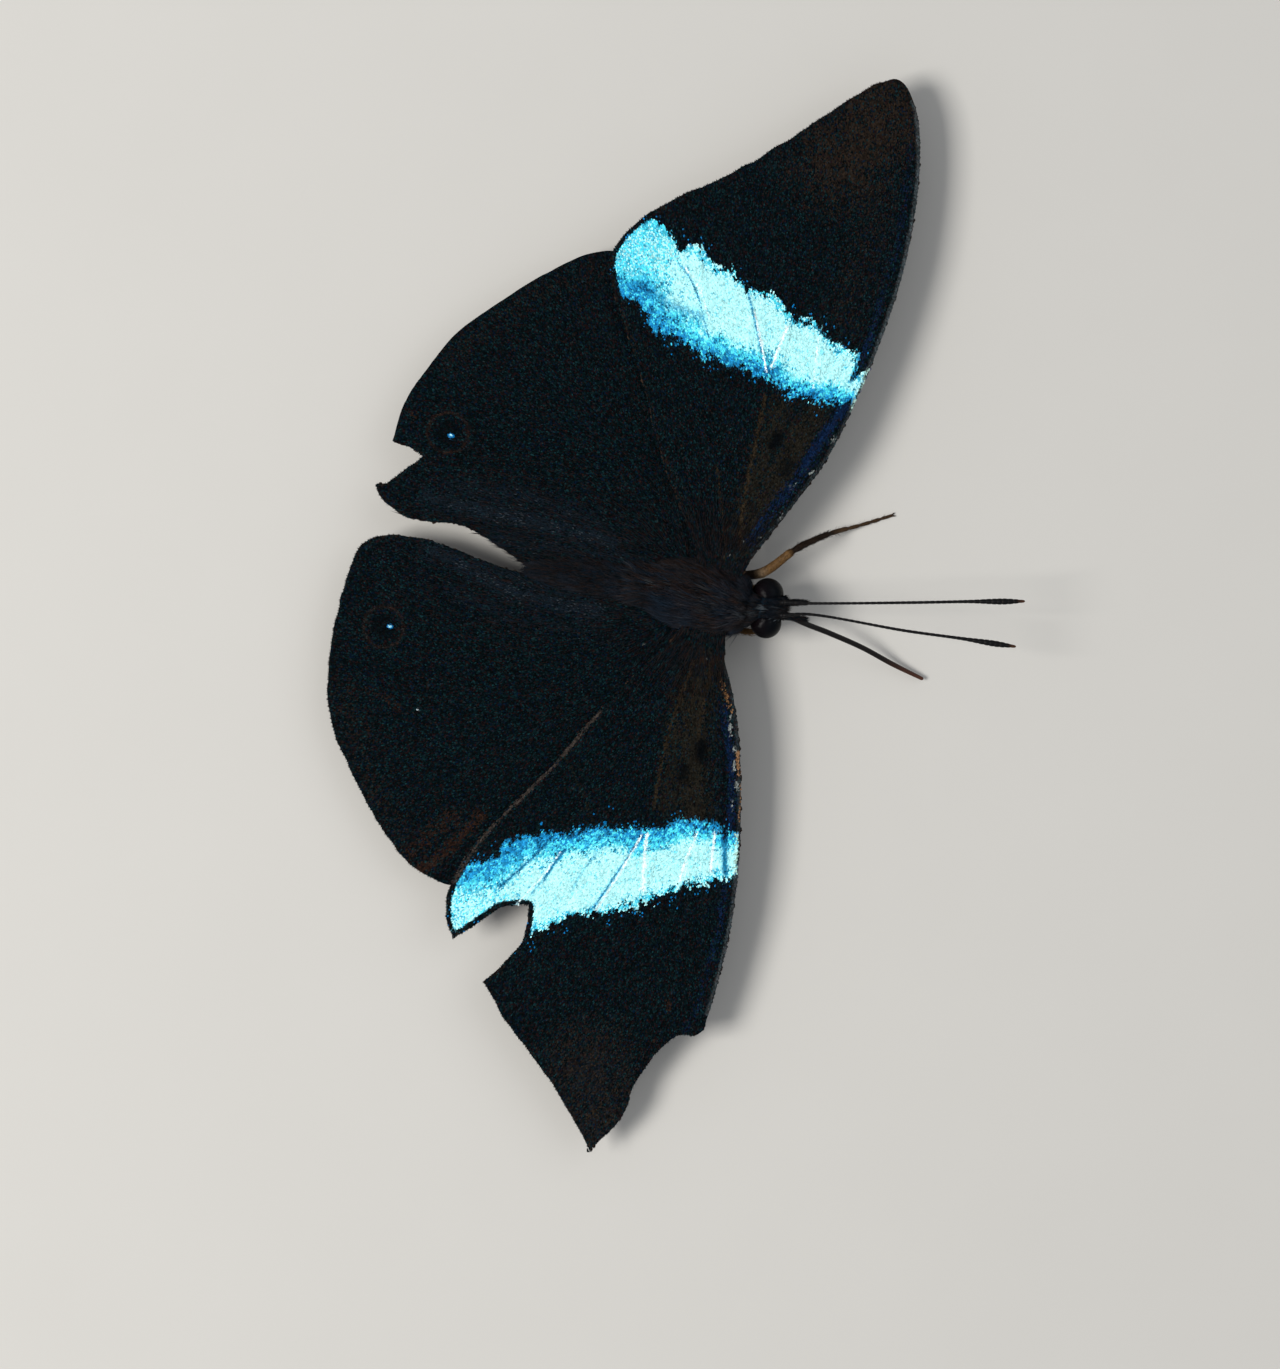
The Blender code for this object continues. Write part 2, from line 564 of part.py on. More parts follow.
def build_wings():
    """The four wings: each forewing above its hindwing, the right veins carried over."""
    fore_right = [carry(vein, FORE_MARKS_LEFT, FORE_MARKS_RIGHT) for vein in FOREWING_VEINS]
    hind_right = [carry(vein, HIND_MARKS_LEFT, HIND_MARKS_RIGHT) for vein in HINDWING_VEINS]
    rise = WING_SPACING / 2
    build_wing("forewing_left", FOREWING_LEFT_EDGE, forewing_root(1), FOREWING_VEINS,
               DROOP_LEFT, rise)
    build_wing("forewing_right", FOREWING_RIGHT_EDGE, forewing_root(-1), fore_right,
               DROOP_RIGHT, rise)
    build_wing("hindwing_left", HINDWING_LEFT_EDGE, hindwing_root(1), HINDWING_VEINS,
               DROOP_LEFT, -rise)
    build_wing("hindwing_right", HINDWING_RIGHT_EDGE, hindwing_root(-1), hind_right,
               DROOP_RIGHT, -rise)


def centre_on_origin():
    """Hang every part on one empty, moved so that the model's box is centred."""
    parts = [part for part in bpy.context.scene.objects if part.type == "MESH"]
    places = np.array([vertex.co[:] for part in parts for vertex in part.data.vertices])
    middle = (places.min(0) + places.max(0)) / 2
    base = bpy.data.objects.new("butterfly", None)
    bpy.context.scene.collection.objects.link(base)
    for part in parts:
        part.parent = base
    base.location = (-middle[0], -middle[1], 0)


def main():
    """Build every part of the butterfly in its place."""
    clear_scene()
    build_thorax()
    build_abdomen()
    build_head()
    build_eye("eye_left", 1)
    build_eye("eye_right", -1)
    build_head_parts()
    for name, leg in LEGS.items():
        build_leg(name, *leg, on_floor=True)
    for name, leg in FORELEGS.items():
        build_leg(name, *leg, on_floor=False)
    build_wings()
    centre_on_origin()


main()
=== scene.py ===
import math

import bmesh
import bpy
import numpy as np
from mathutils import Matrix, Vector
from mathutils.geometry import delaunay_2d_cdt


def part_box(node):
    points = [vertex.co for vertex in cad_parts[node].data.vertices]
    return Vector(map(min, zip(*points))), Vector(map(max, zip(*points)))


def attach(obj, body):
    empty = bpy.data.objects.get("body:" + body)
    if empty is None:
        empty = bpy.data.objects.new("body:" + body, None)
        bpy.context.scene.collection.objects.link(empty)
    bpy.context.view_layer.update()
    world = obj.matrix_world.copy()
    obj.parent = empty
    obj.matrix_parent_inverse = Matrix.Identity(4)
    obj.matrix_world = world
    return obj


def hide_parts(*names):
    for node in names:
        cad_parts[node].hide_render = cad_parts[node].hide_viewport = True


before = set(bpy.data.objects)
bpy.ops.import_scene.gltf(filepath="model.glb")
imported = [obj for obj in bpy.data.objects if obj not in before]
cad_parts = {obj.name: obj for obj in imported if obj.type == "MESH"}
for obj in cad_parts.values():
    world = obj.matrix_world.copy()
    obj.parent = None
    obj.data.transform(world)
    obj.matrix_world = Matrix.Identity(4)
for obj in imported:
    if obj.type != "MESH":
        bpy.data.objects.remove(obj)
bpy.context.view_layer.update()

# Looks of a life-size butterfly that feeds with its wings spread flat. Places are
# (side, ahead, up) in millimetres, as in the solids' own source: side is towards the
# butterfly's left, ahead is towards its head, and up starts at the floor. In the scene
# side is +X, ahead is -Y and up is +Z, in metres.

MM = 0.001
BODY = "root"

# Thorax, abdomen and head, as the solids have them
GAP = 0.3
THORAX_SIDE = 0.6
THORAX_UP = 4.6
THORAX_HALF = (2.95, 4.15, 2.75)
THORAX_OVAL = 2.4
THORAX_FLANK_CAP = 0.9
ABDOMEN_FRONT = (0.5, -4.0, 4.4)
ABDOMEN_REAR = (-0.6, -14.8, 4.0)
ABDOMEN_HALF_WIDTH = 1.6
ABDOMEN_WIDEST = 0.35
ABDOMEN_SHRINK = 0.7
ABDOMEN_SEGMENTS = 8
HEAD_CENTRE = (1.1, 5.5, 4.9)
HEAD_TURN = math.radians(10)
HEAD_HALF = (1.7, 1.75, 1.65)

# Wings, as the solids have them
WING_ROOT_UP = 5.4
WING_SPACING = 1.1
WING_REACH = 46.0
DROOP = {"left": 1.7, "right": 2.5}
DROOP_REAR = 1.3
HIND_REACH = 29.0
FOREWING_ROOT = (2.4, -0.7)
HINDWING_ROOT = (-0.5, -3.3)
HINDWING_INNER_EDGE = (-4.5, -14.2)
LANDMARKS = {
    "forewing_left": ((3.9, 1.6), (46.3, 5.6), (26.4, -14.2)),
    "forewing_right": ((-2.7, 1.6), (-48.5, 4.9), (-28.3, -14.6)),
    "hindwing_left": ((3.6, -1.8), (27.0, -15.0), (3.0, -28.7)),
    "hindwing_right": ((-2.4, -1.8), (-27.7, -16.5), (-1.9, -29.2)),
}

# Fineness and relief of the wings in the render
EDGE_STEP = 0.28
EDGE_INSET = 0.16
EDGE_FRAY = 0.17
ROOT_SINK = 1.4
VEIN_STEP = 0.6
VEIN_HALF_WIDTH = 0.2
VEIN_HEIGHT = 0.13
VEIN_TAPER = 0.55
VEIN_CLEARANCE = 0.35
MEMBRANE_GRID = 0.42
GRID_CLEARANCE = 0.2
ROW_SHARE = 0.866
MEMBRANE_HALF = 0.045
SAG_DEPTH = 0.13
SAG_WIDTH = 1.3
WAVE_HEIGHT = 0.22
WAVE_LENGTH = 6.5

# Scales and hair
SCALE_STEP = {1: 0.125, -1: 0.23}
SCALE_LENGTH = 0.22
SCALE_WIDTH = 0.135
SCALE_LIFT = 0.045
SCALE_CLEARANCE = 0.006
FRINGE_STEP = 0.07
FRINGE_LENGTH = 0.42
FRINGE_WIDTH = 0.085
FRINGE_LIFT = -0.01
FRINGE_OVERLAP = 0.27
COVER_OVERLAP = 1.2
SCALE_SEED = {"left": 200, "right": 300}
TILT_SEED = 70
HAIR_WIDTH = 0.024
HAIR_TRIES = {"forewing": 160000, "hindwing": 60000}
HAIR_SEED = {"left": 401, "right": 402}
BAKE_PATCH = 0.003

# Wing edges, from the front of the root round to its rear, as smooth stretches that
# meet in corners
EDGES = {
    "forewing_left": (
        ((4.9, 3.3), (9.7, 5.5), (14.4, 7.4), (20.0, 8.6), (26.8, 9.5), (33.0, 9.7),
         (40.2, 8.9), (44.7, 7.4), (46.5, 5.6), (45.9, 3.7), (43.0, 0.8), (39.0, -2.9),
         (35.6, -6.4), (32.8, -10.0), (30.2, -12.6), (26.9, -14.3), (24.4, -13.9),
         (18.5, -10.3), (10.5, -5.9), (4.6, -1.8)),
    ),
    "forewing_right": (
        ((-3.9, 3.1), (-7.0, 4.7), (-11.3, 6.3), (-18.0, 8.0), (-24.9, 9.0),
         (-30.5, 9.1), (-34.3, 8.9)),
        ((-34.3, 8.9), (-35.1, 8.2), (-35.5, 7.0), (-37.0, 5.9), (-40.0, 4.7),
         (-43.0, 4.3), (-46.8, 2.2)),
        ((-46.8, 2.2), (-43.9, -0.4), (-40.6, -3.9), (-37.6, -7.5), (-34.8, -10.2)),
        ((-34.8, -10.2), (-33.0, -9.0), (-30.6, -7.8), (-27.8, -7.9)),
        ((-27.8, -7.9), (-28.6, -9.7), (-30.3, -11.3), (-32.2, -13.1)),
        ((-32.2, -13.1), (-31.4, -13.9), (-29.4, -14.7), (-26.8, -14.6), (-23.0, -13.2),
         (-16.5, -9.3), (-9.5, -5.7), (-3.4, -1.8)),
    ),
    "hindwing_left": (
        ((5.5, -0.8), (12.5, -1.9), (19.5, -5.0), (24.5, -9.0), (27.0, -13.2),
         (26.4, -15.8), (23.8, -19.2), (20.6, -22.3), (17.3, -25.1), (13.9, -26.8),
         (10.4, -28.0), (7.1, -28.2)),
        ((7.1, -28.2), (6.8, -27.0), (6.4, -25.7)),
        ((6.4, -25.7), (5.1, -26.8), (3.8, -27.9)),
        ((3.8, -27.9), (3.4, -28.8), (2.4, -28.4), (1.2, -26.3), (1.0, -23.8),
         (1.4, -20.7), (0.5, -17.5), (-0.35, -15.4)),
    ),
    "hindwing_right": (
        ((-4.5, -0.8), (-12.5, -1.9), (-19.5, -4.8), (-25.0, -9.2), (-27.6, -13.6),
         (-27.3, -17.8), (-24.8, -21.2), (-20.9, -24.8), (-17.0, -27.7), (-13.0, -29.0),
         (-8.3, -29.4), (-4.2, -29.3), (-1.7, -28.8), (-0.3, -26.5), (0.0, -23.4),
         (-0.4, -18.9), (-0.8, -15.4)),
    ),
}

# Veins, drawn on the left wings and carried to the right ones by the landmarks
VEINS = {"forewing": (
    ((5.0, 2.9), (9.8, 4.9), (14.5, 6.8), (20.1, 8.0), (26.8, 8.9), (33.0, 9.1),
     (39.8, 8.3), (43.8, 7.0)),
    ((4.4, 1.9), (12.0, 4.7), (19.0, 6.9), (25.5, 8.5)),
    ((4.3, 1.2), (12.0, 3.3), (20.5, 5.0), (27.0, 5.9), (34.5, 6.5), (45.0, 6.3)),
    ((15.0, 4.0), (22.5, 6.5), (30.5, 8.6)),
    ((22.5, 5.3), (29.0, 7.1), (37.0, 8.4)),
    ((34.5, 6.5), (40.0, 5.6), (45.4, 3.7)),
    ((20.5, 5.0), (31.0, 3.8), (42.2, 0.6)),
    ((20.5, 5.0), (20.9, 2.6), (19.9, 0.8)),
    ((20.6, 1.6), (25.0, 1.5), (32.0, 0.2), (39.5, -1.9)),
    ((19.9, 0.8), (25.9, -2.2), (36.2, -5.2)),
    ((4.2, 0.4), (11.0, -0.9), (16.5, -0.6), (19.9, 0.8)),
    ((16.5, -0.6), (22.4, -4.7), (33.2, -9.0)),
    ((11.0, -0.9), (18.5, -6.4), (29.7, -12.4)),
    ((4.0, -0.3), (11.5, -4.9), (19.0, -9.3), (25.6, -13.2)),
), "hindwing": (
    ((3.9, -1.3), (12.0, -3.4), (20.0, -7.0), (25.6, -11.8)),
    ((3.8, -2.1), (10.0, -4.9), (18.0, -10.3), (25.8, -15.3)),
    ((10.0, -4.9), (16.0, -11.6), (22.8, -19.6)),
    ((10.0, -4.9), (11.3, -8.0), (15.0, -14.2), (19.3, -22.8)),
    ((11.3, -8.0), (10.6, -10.2)),
    ((10.6, -10.2), (13.2, -17.4), (15.4, -25.2)),
    ((3.6, -2.8), (7.2, -6.6), (10.6, -10.2), (11.2, -18.0), (11.4, -27.0)),
    ((7.2, -6.6), (7.6, -15.0), (7.0, -24.8)),
    ((3.4, -3.5), (4.2, -12.0), (4.2, -20.0), (3.4, -27.2)),
    ((2.9, -4.3), (3.0, -10.0), (2.3, -17.0)),
)}

# The blue band of each forewing: round its edge, first the side towards the tip, from
# the rear end to the front edge of the wing, then back along the side towards the body
BANDS = {
    "forewing_left": (
        (29.6, -13.8), (29.9, -12.3), (29.7, -10.6), (28.4, -8.8), (28.4, -7.6),
        (27.9, -6.4), (27.1, -5.4), (27.5, -3.9), (26.2, -2.4), (26.3, -0.6), (24.5, 1.9),
        (24.9, 3.6), (23.2, 6.0), (23.2, 7.5), (21.5, 7.9), (22.4, 9.6), (18.6, 9.2),
        (19.2, 7.8),
        (18.9, 5.4), (18.8, 3.0), (19.8, 0.6), (19.8, -2.3), (20.6, -6.2), (21.6, -9.3),
        (23.3, -11.0), (23.2, -12.6), (23.8, -15.2)),
    "forewing_right": (
        (-29.5, -15.6), (-33.2, -14.0), (-31.0, -10.5), (-30.4, -7.8), (-28.8, -6.2),
        (-27.8, -4.6), (-27.0, -2.9), (-26.5, -1.4), (-25.1, 0.9), (-24.1, 2.2),
        (-23.4, 3.6), (-22.2, 5.5), (-21.4, 6.9), (-20.6, 8.4), (-20.6, 9.2),
        (-17.4, 8.4), (-18.0, 6.6), (-17.3, 5.6), (-17.8, 3.0), (-18.6, 1.4),
        (-19.5, -1.2), (-19.6, -3.8), (-20.7, -5.3), (-21.8, -8.2), (-22.4, -9.9),
        (-24.0, -11.1), (-25.3, -12.6), (-25.7, -14.8)),
}
BAND_SPLIT = {"forewing_left": 15, "forewing_right": 14}
BAND_BORDER = 0.47
BAND_BORDER_FRONT = 0.14
REAR_PALENESS = {"forewing_left": 0.36, "forewing_right": 0.62}

# Streaks of scales of one colour: what they are, half width, strength and course
STREAKS = {
    "forewing_left": (
        ("basal", 1.5, 0.85, ((5.5, 2.4), (10.0, 3.4), (14.5, 4.6), (17.6, 5.4))),
        ("basal", 1.3, 0.75, ((7.0, 1.6), (12.0, 2.0), (17.4, 2.6))),
        ("ochre", 0.20, 0.95, ((5.2, 2.0), (8.5, 1.5), (11.1, 1.4), (13.6, 1.3), (17.9, 1.1))),
        ("ochre", 0.18, 0.55, ((4.1, 1.1), (7.3, 0.1), (11.3, -1.3))),
        ("ochre", 0.15, 0.45, ((9.5, 2.4), (13.4, 3.3), (16.4, 4.2))),
        ("azure", 0.55, 0.65, ((5.9, 2.7), (9.1, 3.9), (12.0, 5.3), (16.8, 6.9))),
        ("azure", 0.45, 1.1, ((13.4, 5.6), (16.8, 6.9), (18.7, 7.6))),
        ("azure", 0.34, 0.60, ((22.4, 8.2), (26.2, 8.4), (28.6, 8.5))),
        ("azure", 0.40, 0.30, ((28.2, 8.5), (32.5, 8.7), (36.0, 8.5), (41.0, 7.9))),
        ("black", 0.55, 1.0, ((14.2, 2.7), (14.9, 2.9))),
        ("black", 0.50, 0.8, ((12.3, 4.2), (13.0, 4.4))),
        ("apex", 5.0, 0.72, ((39.0, 2.8), (43.5, 5.0))),
        ("apex", 2.4, 0.30, ((26.0, 6.0), (36.0, 6.5))),
        ("deep", 0.20, 0.9, ((20.9, 7.7), (22.0, 7.9), (23.6, 7.9))),
        ("deep", 0.09, 0.8, ((27.0, -8.5), (25.6, -6.9), (21.7, -4.6))),
        ("deep", 0.09, 0.8, ((26.2, -2.4), (23.2, -0.9), (21.4, 0.0))),
        ("deep", 0.10, 0.7, ((21.6, 0.9), (20.0, 0.8))),
        ("deep", 0.42, 0.55, ((24.6, -11.2), (23.6, -8.6), (23.2, -5.6))),
        ("spark", 0.11, 1.0, ((24.0, 1.5), (22.2, 1.25), (20.3, 1.05))),
        ("spark", 0.08, 0.8, ((24.6, -1.4), (22.4, -0.35), (20.0, 0.75))),
        ("spark", 0.09, 0.5, ((23.8, 4.2), (21.8, 4.5), (19.7, 4.8))),
        ("spark", 0.09, 0.5, ((26.9, -8.0), (25.7, -6.6), (23.0, -4.8))),
        ("fleck_and_painted_glint", 0.13, 0.8, ((8.5, 4.7), (8.8, 4.8))),
        ("fleck_and_painted_glint", 0.12, 0.7, ((11.3, 5.1), (11.5, 5.2))),
        ("fleck_and_painted_glint", 0.13, 0.8, ((12.6, 6.2), (12.9, 6.4))),
        ("fleck_and_painted_glint", 0.15, 0.7, ((15.6, 7.3), (16.0, 7.5))),
        ("fleck_and_painted_glint", 0.10, 0.8, ((6.3, 3.3), (6.6, 3.5))),
        # The next two are painted glints near the wing's root: pale specks that stand for light
        # caught there
        ("fleck_and_painted_glint", 0.09, 1.0, ((5.8, 2.0), (5.85, 2.2))),
        ("fleck_and_painted_glint", 0.09, 1.0, ((4.4, 1.3), (4.45, 1.4))),
        ("greenish", 0.22, 0.8, ((18.7, 8.4), (20.2, 8.7), (22.2, 9.0))),
    ),
    "forewing_right": (
        ("basal", 1.7, 0.9, ((-4.6, 1.6), (-9.0, 2.0), (-13.6, 2.8), (-16.6, 3.8))),
        ("basal", 1.2, 0.7, ((-6.6, 0.4), (-11.0, 0.8), (-16.6, 1.4))),
        ("ochre", 0.20, 0.85, ((-4.4, 0.7), (-8.1, 0.3), (-11.5, 0.1), (-17.1, 0.4))),
        ("ochre", 0.17, 0.75, ((-3.8, 2.0), (-6.7, 2.2), (-10.1, 2.5), (-12.6, 2.9))),
        ("ochre", 0.15, 0.6, ((-3.5, 1.4), (-6.9, 1.3), (-10.3, 1.3))),
        ("ochre", 0.14, 0.5, ((-3.3, 2.2), (-5.6, 3.2), (-8.8, 4.3))),
        ("basal", 0.12, 0.7, ((-13.4, -9.0), (-16.9, -6.0), (-19.4, -4.2))),
        ("azure", 0.40, 0.8, ((-7.6, 4.0), (-11.7, 5.6), (-14.6, 6.4), (-17.4, 7.0))),
        ("azure", 0.30, 0.6, ((-21.7, 7.6), (-25.1, 8.0), (-28.5, 8.0))),
        ("azure", 0.40, 0.30, ((-28.5, 8.0), (-31.9, 7.9), (-34.6, 7.6))),
        ("black", 0.60, 1.0, ((-11.1, 2.9), (-12.1, 3.1))),
        ("black", 0.50, 0.85, ((-13.3, 2.0), (-14.0, 2.1))),
        ("apex", 4.2, 0.66, ((-44.0, 2.0), (-39.5, 0.5))),
        ("hair", 3.4, 0.40, ((-44.0, 2.0), (-40.0, 0.8))),
        ("rust", 0.26, 0.7, ((-32.3, 5.4), (-33.2, 5.7))),
        ("rust", 0.13, 0.6, ((-36.0, 5.1), (-36.4, 5.3))),
        ("ochre", 0.09, 0.55, ((-43.7, 1.3), (-41.2, 2.8), (-38.8, 3.6))),
        ("ochre", 0.09, 0.55, ((-44.4, 2.6), (-41.6, 4.1))),
        ("deep", 0.24, 1.0, ((-17.6, 6.5), (-18.4, 6.7), (-20.9, 7.4))),
        ("deep", 0.13, 1.0, ((-21.6, -7.2), (-24.0, -8.6), (-26.6, -10.4))),
        ("deep", 0.15, 1.0, ((-22.3, -5.9), (-23.8, -6.5), (-25.2, -7.0))),
        ("deep", 0.08, 0.6, ((-25.2, -7.0), (-26.6, -7.7))),
        ("deep", 0.11, 0.9, ((-19.4, 0.2), (-22.6, -1.0), (-26.4, -2.4))),
        ("deep", 0.10, 0.5, ((-20.6, -2.6), (-23.4, -3.9), (-25.6, -4.6))),
        ("spark", 0.12, 1.0, ((-19.4, 0.4), (-21.6, 0.7), (-24.0, 1.2))),
        ("spark", 0.09, 0.7, ((-19.6, 0.0), (-22.8, -0.9), (-26.6, -2.2))),
        ("spark", 0.10, 0.7, ((-18.2, 4.4), (-20.4, 4.1), (-22.5, 3.9))),
        ("spark", 0.13, 0.8, ((-18.0, 5.8), (-21.1, 6.2))),
        ("spark", 0.09, 0.5, ((-22.6, -6.2), (-25.0, -7.2), (-28.2, -9.0))),
        ("margin", 0.17, 0.9, ((-27.2, -14.2), (-23.0, -12.7), (-16.5, -8.9), (-10.5, -5.8))),
        ("costal_ochre", 0.26, 0.46, ((-5.7, 3.3), (-6.6, 3.9), (-7.8, 4.6))),
        ("fleck_and_painted_glint", 0.12, 0.8, ((-8.2, 4.6), (-9.7, 5.1))),
        ("costal_ochre", 0.16, 1.0, ((-11.0, 6.0), (-12.7, 6.5))),
        ("fleck_and_painted_glint", 0.15, 0.9, ((-10.6, 5.6), (-11.0, 5.7))),
        ("fleck_and_painted_glint", 0.14, 0.9, ((-11.9, 5.9), (-12.5, 6.1))),
        ("fleck_and_painted_glint", 0.16, 0.9, ((-13.4, 6.5), (-14.0, 6.7))),
        ("costal_ochre", 0.09, 0.7, ((-13.4, 6.9), (-14.5, 7.1), (-16.5, 7.5))),
        ("fleck_and_painted_glint", 0.09, 0.7, ((-15.0, 6.5), (-15.8, 6.8))),
        # A painted glint near the wing's root: a pale speck that stands for light caught there
        ("fleck_and_painted_glint", 0.09, 1.0, ((-4.1, 1.5), (-4.15, 1.6))),
        ("greenish", 0.20, 0.75, ((-17.6, 7.6), (-19.4, 8.0), (-20.7, 8.3))),
    ),
    "hindwing_left": (
        ("hair", 0.75, 0.85, ((3.3, -8.2), (3.4, -14.5), (3.2, -19.5), (3.3, -24.0))),
        ("hair", 0.9, 0.55, ((4.4, -9.5), (5.2, -15.0), (4.8, -22.0))),
        ("hair", 0.8, 0.45, ((2.4, -5.7), (1.8, -12.3), (1.5, -17.5))),
        ("rust", 0.35, 0.45, ((9.2, -26.9), (9.8, -26.8))),
        ("apex", 1.6, 0.25, ((25.6, -13.0), (22.0, -19.5), (15.0, -25.0))),
    ),
    "hindwing_right": (
        ("hair", 0.75, 0.85, ((-0.9, -22.7), (-1.6, -19.4), (-2.5, -16.5), (-2.8, -13.0),
                              (-2.6, -7.9))),
        ("hair", 0.8, 0.5, ((-1.2, -18.7), (-1.6, -13.4), (-2.0, -8.2))),
        ("hair", 0.9, 0.4, ((-4.2, -8.0), (-4.6, -14.0), (-4.0, -20.0))),
        # A painted glint near the wing's root: a pale speck that stands for light caught there
        ("fleck_and_painted_glint", 0.09, 1.0, ((-4.1, -3.5), (-4.15, -3.6))),
        ("rust", 0.60, 0.75, ((-27.0, -17.2), (-25.2, -15.8), (-23.6, -14.7), (-21.3, -13.4))),
        ("rust", 0.9, 0.5, ((-26.6, -18.6), (-24.6, -17.6), (-22.0, -15.6))),
        ("rust", 0.5, 0.35, ((-13.5, -25.4), (-13.8, -23.4), (-14.4, -22.0))),
        ("rust", 0.3, 0.3, ((-16.4, -24.4), (-17.6, -23.4))),
        ("pale", 0.07, 0.6, ((-14.1, -20.7), (-14.1, -20.5))),
        ("apex", 1.8, 0.30, ((-26.0, -17.5), (-21.0, -23.0), (-14.0, -27.0))),
    ),
}

# Eyespots: wing, centre, ring radius, radius of the black, radius and place of the pupil
EYESPOTS = (
    ("hindwing_left", (8.9, -23.7), 1.70, 0.95, 0.19, (8.72, -23.4), 0.6),
    ("hindwing_right", (-8.1, -25.0), 1.68, 0.95, 0.20, (-7.95, -24.5), 0.6),
)
EYESPOT_RING_HALF = 0.12

# Underside, drawn on the left wings and carried to the right ones
UNDER_STREAKS = {
    "forewing": (
        ("lilac", 1.7, 0.9, ((21.0, 8.0), (22.2, 3.0), (23.4, -3.0), (26.0, -10.5))),
        ("dark_line", 0.28, 0.9, ((8.0, 4.0), (8.6, 1.0), (9.2, -1.6))),
        ("dark_line", 0.28, 0.9, ((12.6, 5.6), (12.9, 2.4), (13.6, -0.6))),
        ("dark_line", 0.26, 0.8, ((34.0, 8.8), (35.2, 4.0), (33.8, -1.4), (30.6, -7.0))),
        ("pale_dust", 2.2, 0.7, ((43.0, 5.6), (40.0, 1.6), (36.0, -3.0))),
    ),
    "hindwing": (
        ("dark_line", 0.26, 0.9, ((9.0, -2.4), (8.0, -6.0), (4.4, -8.4))),
        ("dark_line", 0.28, 0.9, ((15.0, -4.0), (13.6, -9.6), (8.6, -13.6), (3.0, -15.4))),
        ("dark_line", 0.24, 0.7, ((22.6, -9.0), (19.6, -16.0), (13.0, -21.0), (3.2, -22.6))),
        ("pale_dust", 1.8, 0.7, ((25.0, -13.6), (21.0, -19.6), (13.6, -24.8), (4.6, -26.4))),
    ),
}
UNDER_EYESPOTS = {
    "forewing": (),
    "hindwing": (((8.9, -23.7), 1.5), ((19.6, -15.4), 1.5), ((13.6, -19.4), 0.8)),
}

# Colours laid over one another on a wing, from the ground up
GROUND_DARK = (0.0002, 0.0018, 0.0024)
GROUND_LIGHT = (0.0040, 0.0200, 0.0230)
GROUND_WARM = (0.0075, 0.0030, 0.0038)
GROUND_BLUE = (0.0006, 0.0045, 0.0120)
WING_COLOURS = (
    ("apex", (0.0185, 0.0125, 0.0086)),
    ("basal", (0.0120, 0.0105, 0.0072)),
    ("hair", (0.0060, 0.0105, 0.0150)),
    ("azure", (0.0030, 0.0120, 0.0400)),
    ("ochre", (0.0210, 0.0145, 0.0080)),
    ("rust", (0.0230, 0.0110, 0.0070)),
    ("margin", (0.0400, 0.0320, 0.0270)),
    ("black", (0.0008, 0.0016, 0.0022)),
    ("under", (0.030, 0.018, 0.012)),
    ("pale_dust", (0.100, 0.076, 0.070)),
    ("dark_line", (0.008, 0.005, 0.004)),
    ("lilac", (0.33, 0.32, 0.42)),
    ("deep", (0.004, 0.230, 0.600)),
    ("bright", (0.092, 0.820, 0.950)),
    ("white", (0.520, 0.985, 0.990)),
    ("spark", (0.840, 1.000, 1.000)),
    ("costal_ochre", (0.21, 0.105, 0.045)),
    ("pale", (0.34, 0.40, 0.42)),
    # Pale flecks along the front edge, and painted glints at the wings' roots
    ("fleck_and_painted_glint", (0.20, 0.22, 0.21)),
    ("greenish", (0.42, 0.66, 0.58)),
)
MASKS = tuple(name for name, _ in WING_COLOURS)
# Colours that a scale either takes or not, and those that the blue band covers
SETTLED = ("basal", "azure", "ochre", "rust", "hair", "pale", "apex", "margin", "fleck_and_painted_glint",
           "costal_ochre", "greenish")
COVERED = ("azure", "ochre", "basal", "black")

# Feelers and mouthparts: (side, ahead, up, radius) along each one after its base
ANTENNAE = {
    "left": ((2.3, 8.8, 6.6, 0.13), (4.4, 17.0, 7.3, 0.13), (5.6, 21.5, 7.6, 0.15),
             (6.3, 24.3, 7.7, 0.26), (6.72, 25.9, 7.8, 0.10)),
    "right": ((1.4, 8.9, 6.6, 0.13), (2.0, 17.0, 7.2, 0.13), (2.5, 21.7, 7.4, 0.15),
              (2.75, 24.5, 7.5, 0.26), (2.92, 26.1, 7.6, 0.10)),
}
ANTENNA_BASE = (0.42, 0.95, 1.15)
ANTENNA_RINGS = 44
PROBOSCIS = ((0.7, 8.7, 3.7, 0.23), (0.4, 11.1, 3.0, 0.23), (-0.1, 14.2, 1.9, 0.22),
             (-0.8, 17.0, 1.0, 0.21), (-1.4, 19.85, 0.5, 0.15))
PROBOSCIS_BASE = (0.0, 0.75, -0.95)
PROBOSCIS_RINGS = 120
PALP_BASE = (0.55, 0.9, -0.35)
PALP_TIP = (0.70, 3.35, 0.12)
PALP_SIDES = (("left", 1, 141), ("right", -1, 142))
PALP_SCALES = 750
PALP_SCALE_LENGTH = 0.30
PALP_SCALE_WIDTH = 0.020

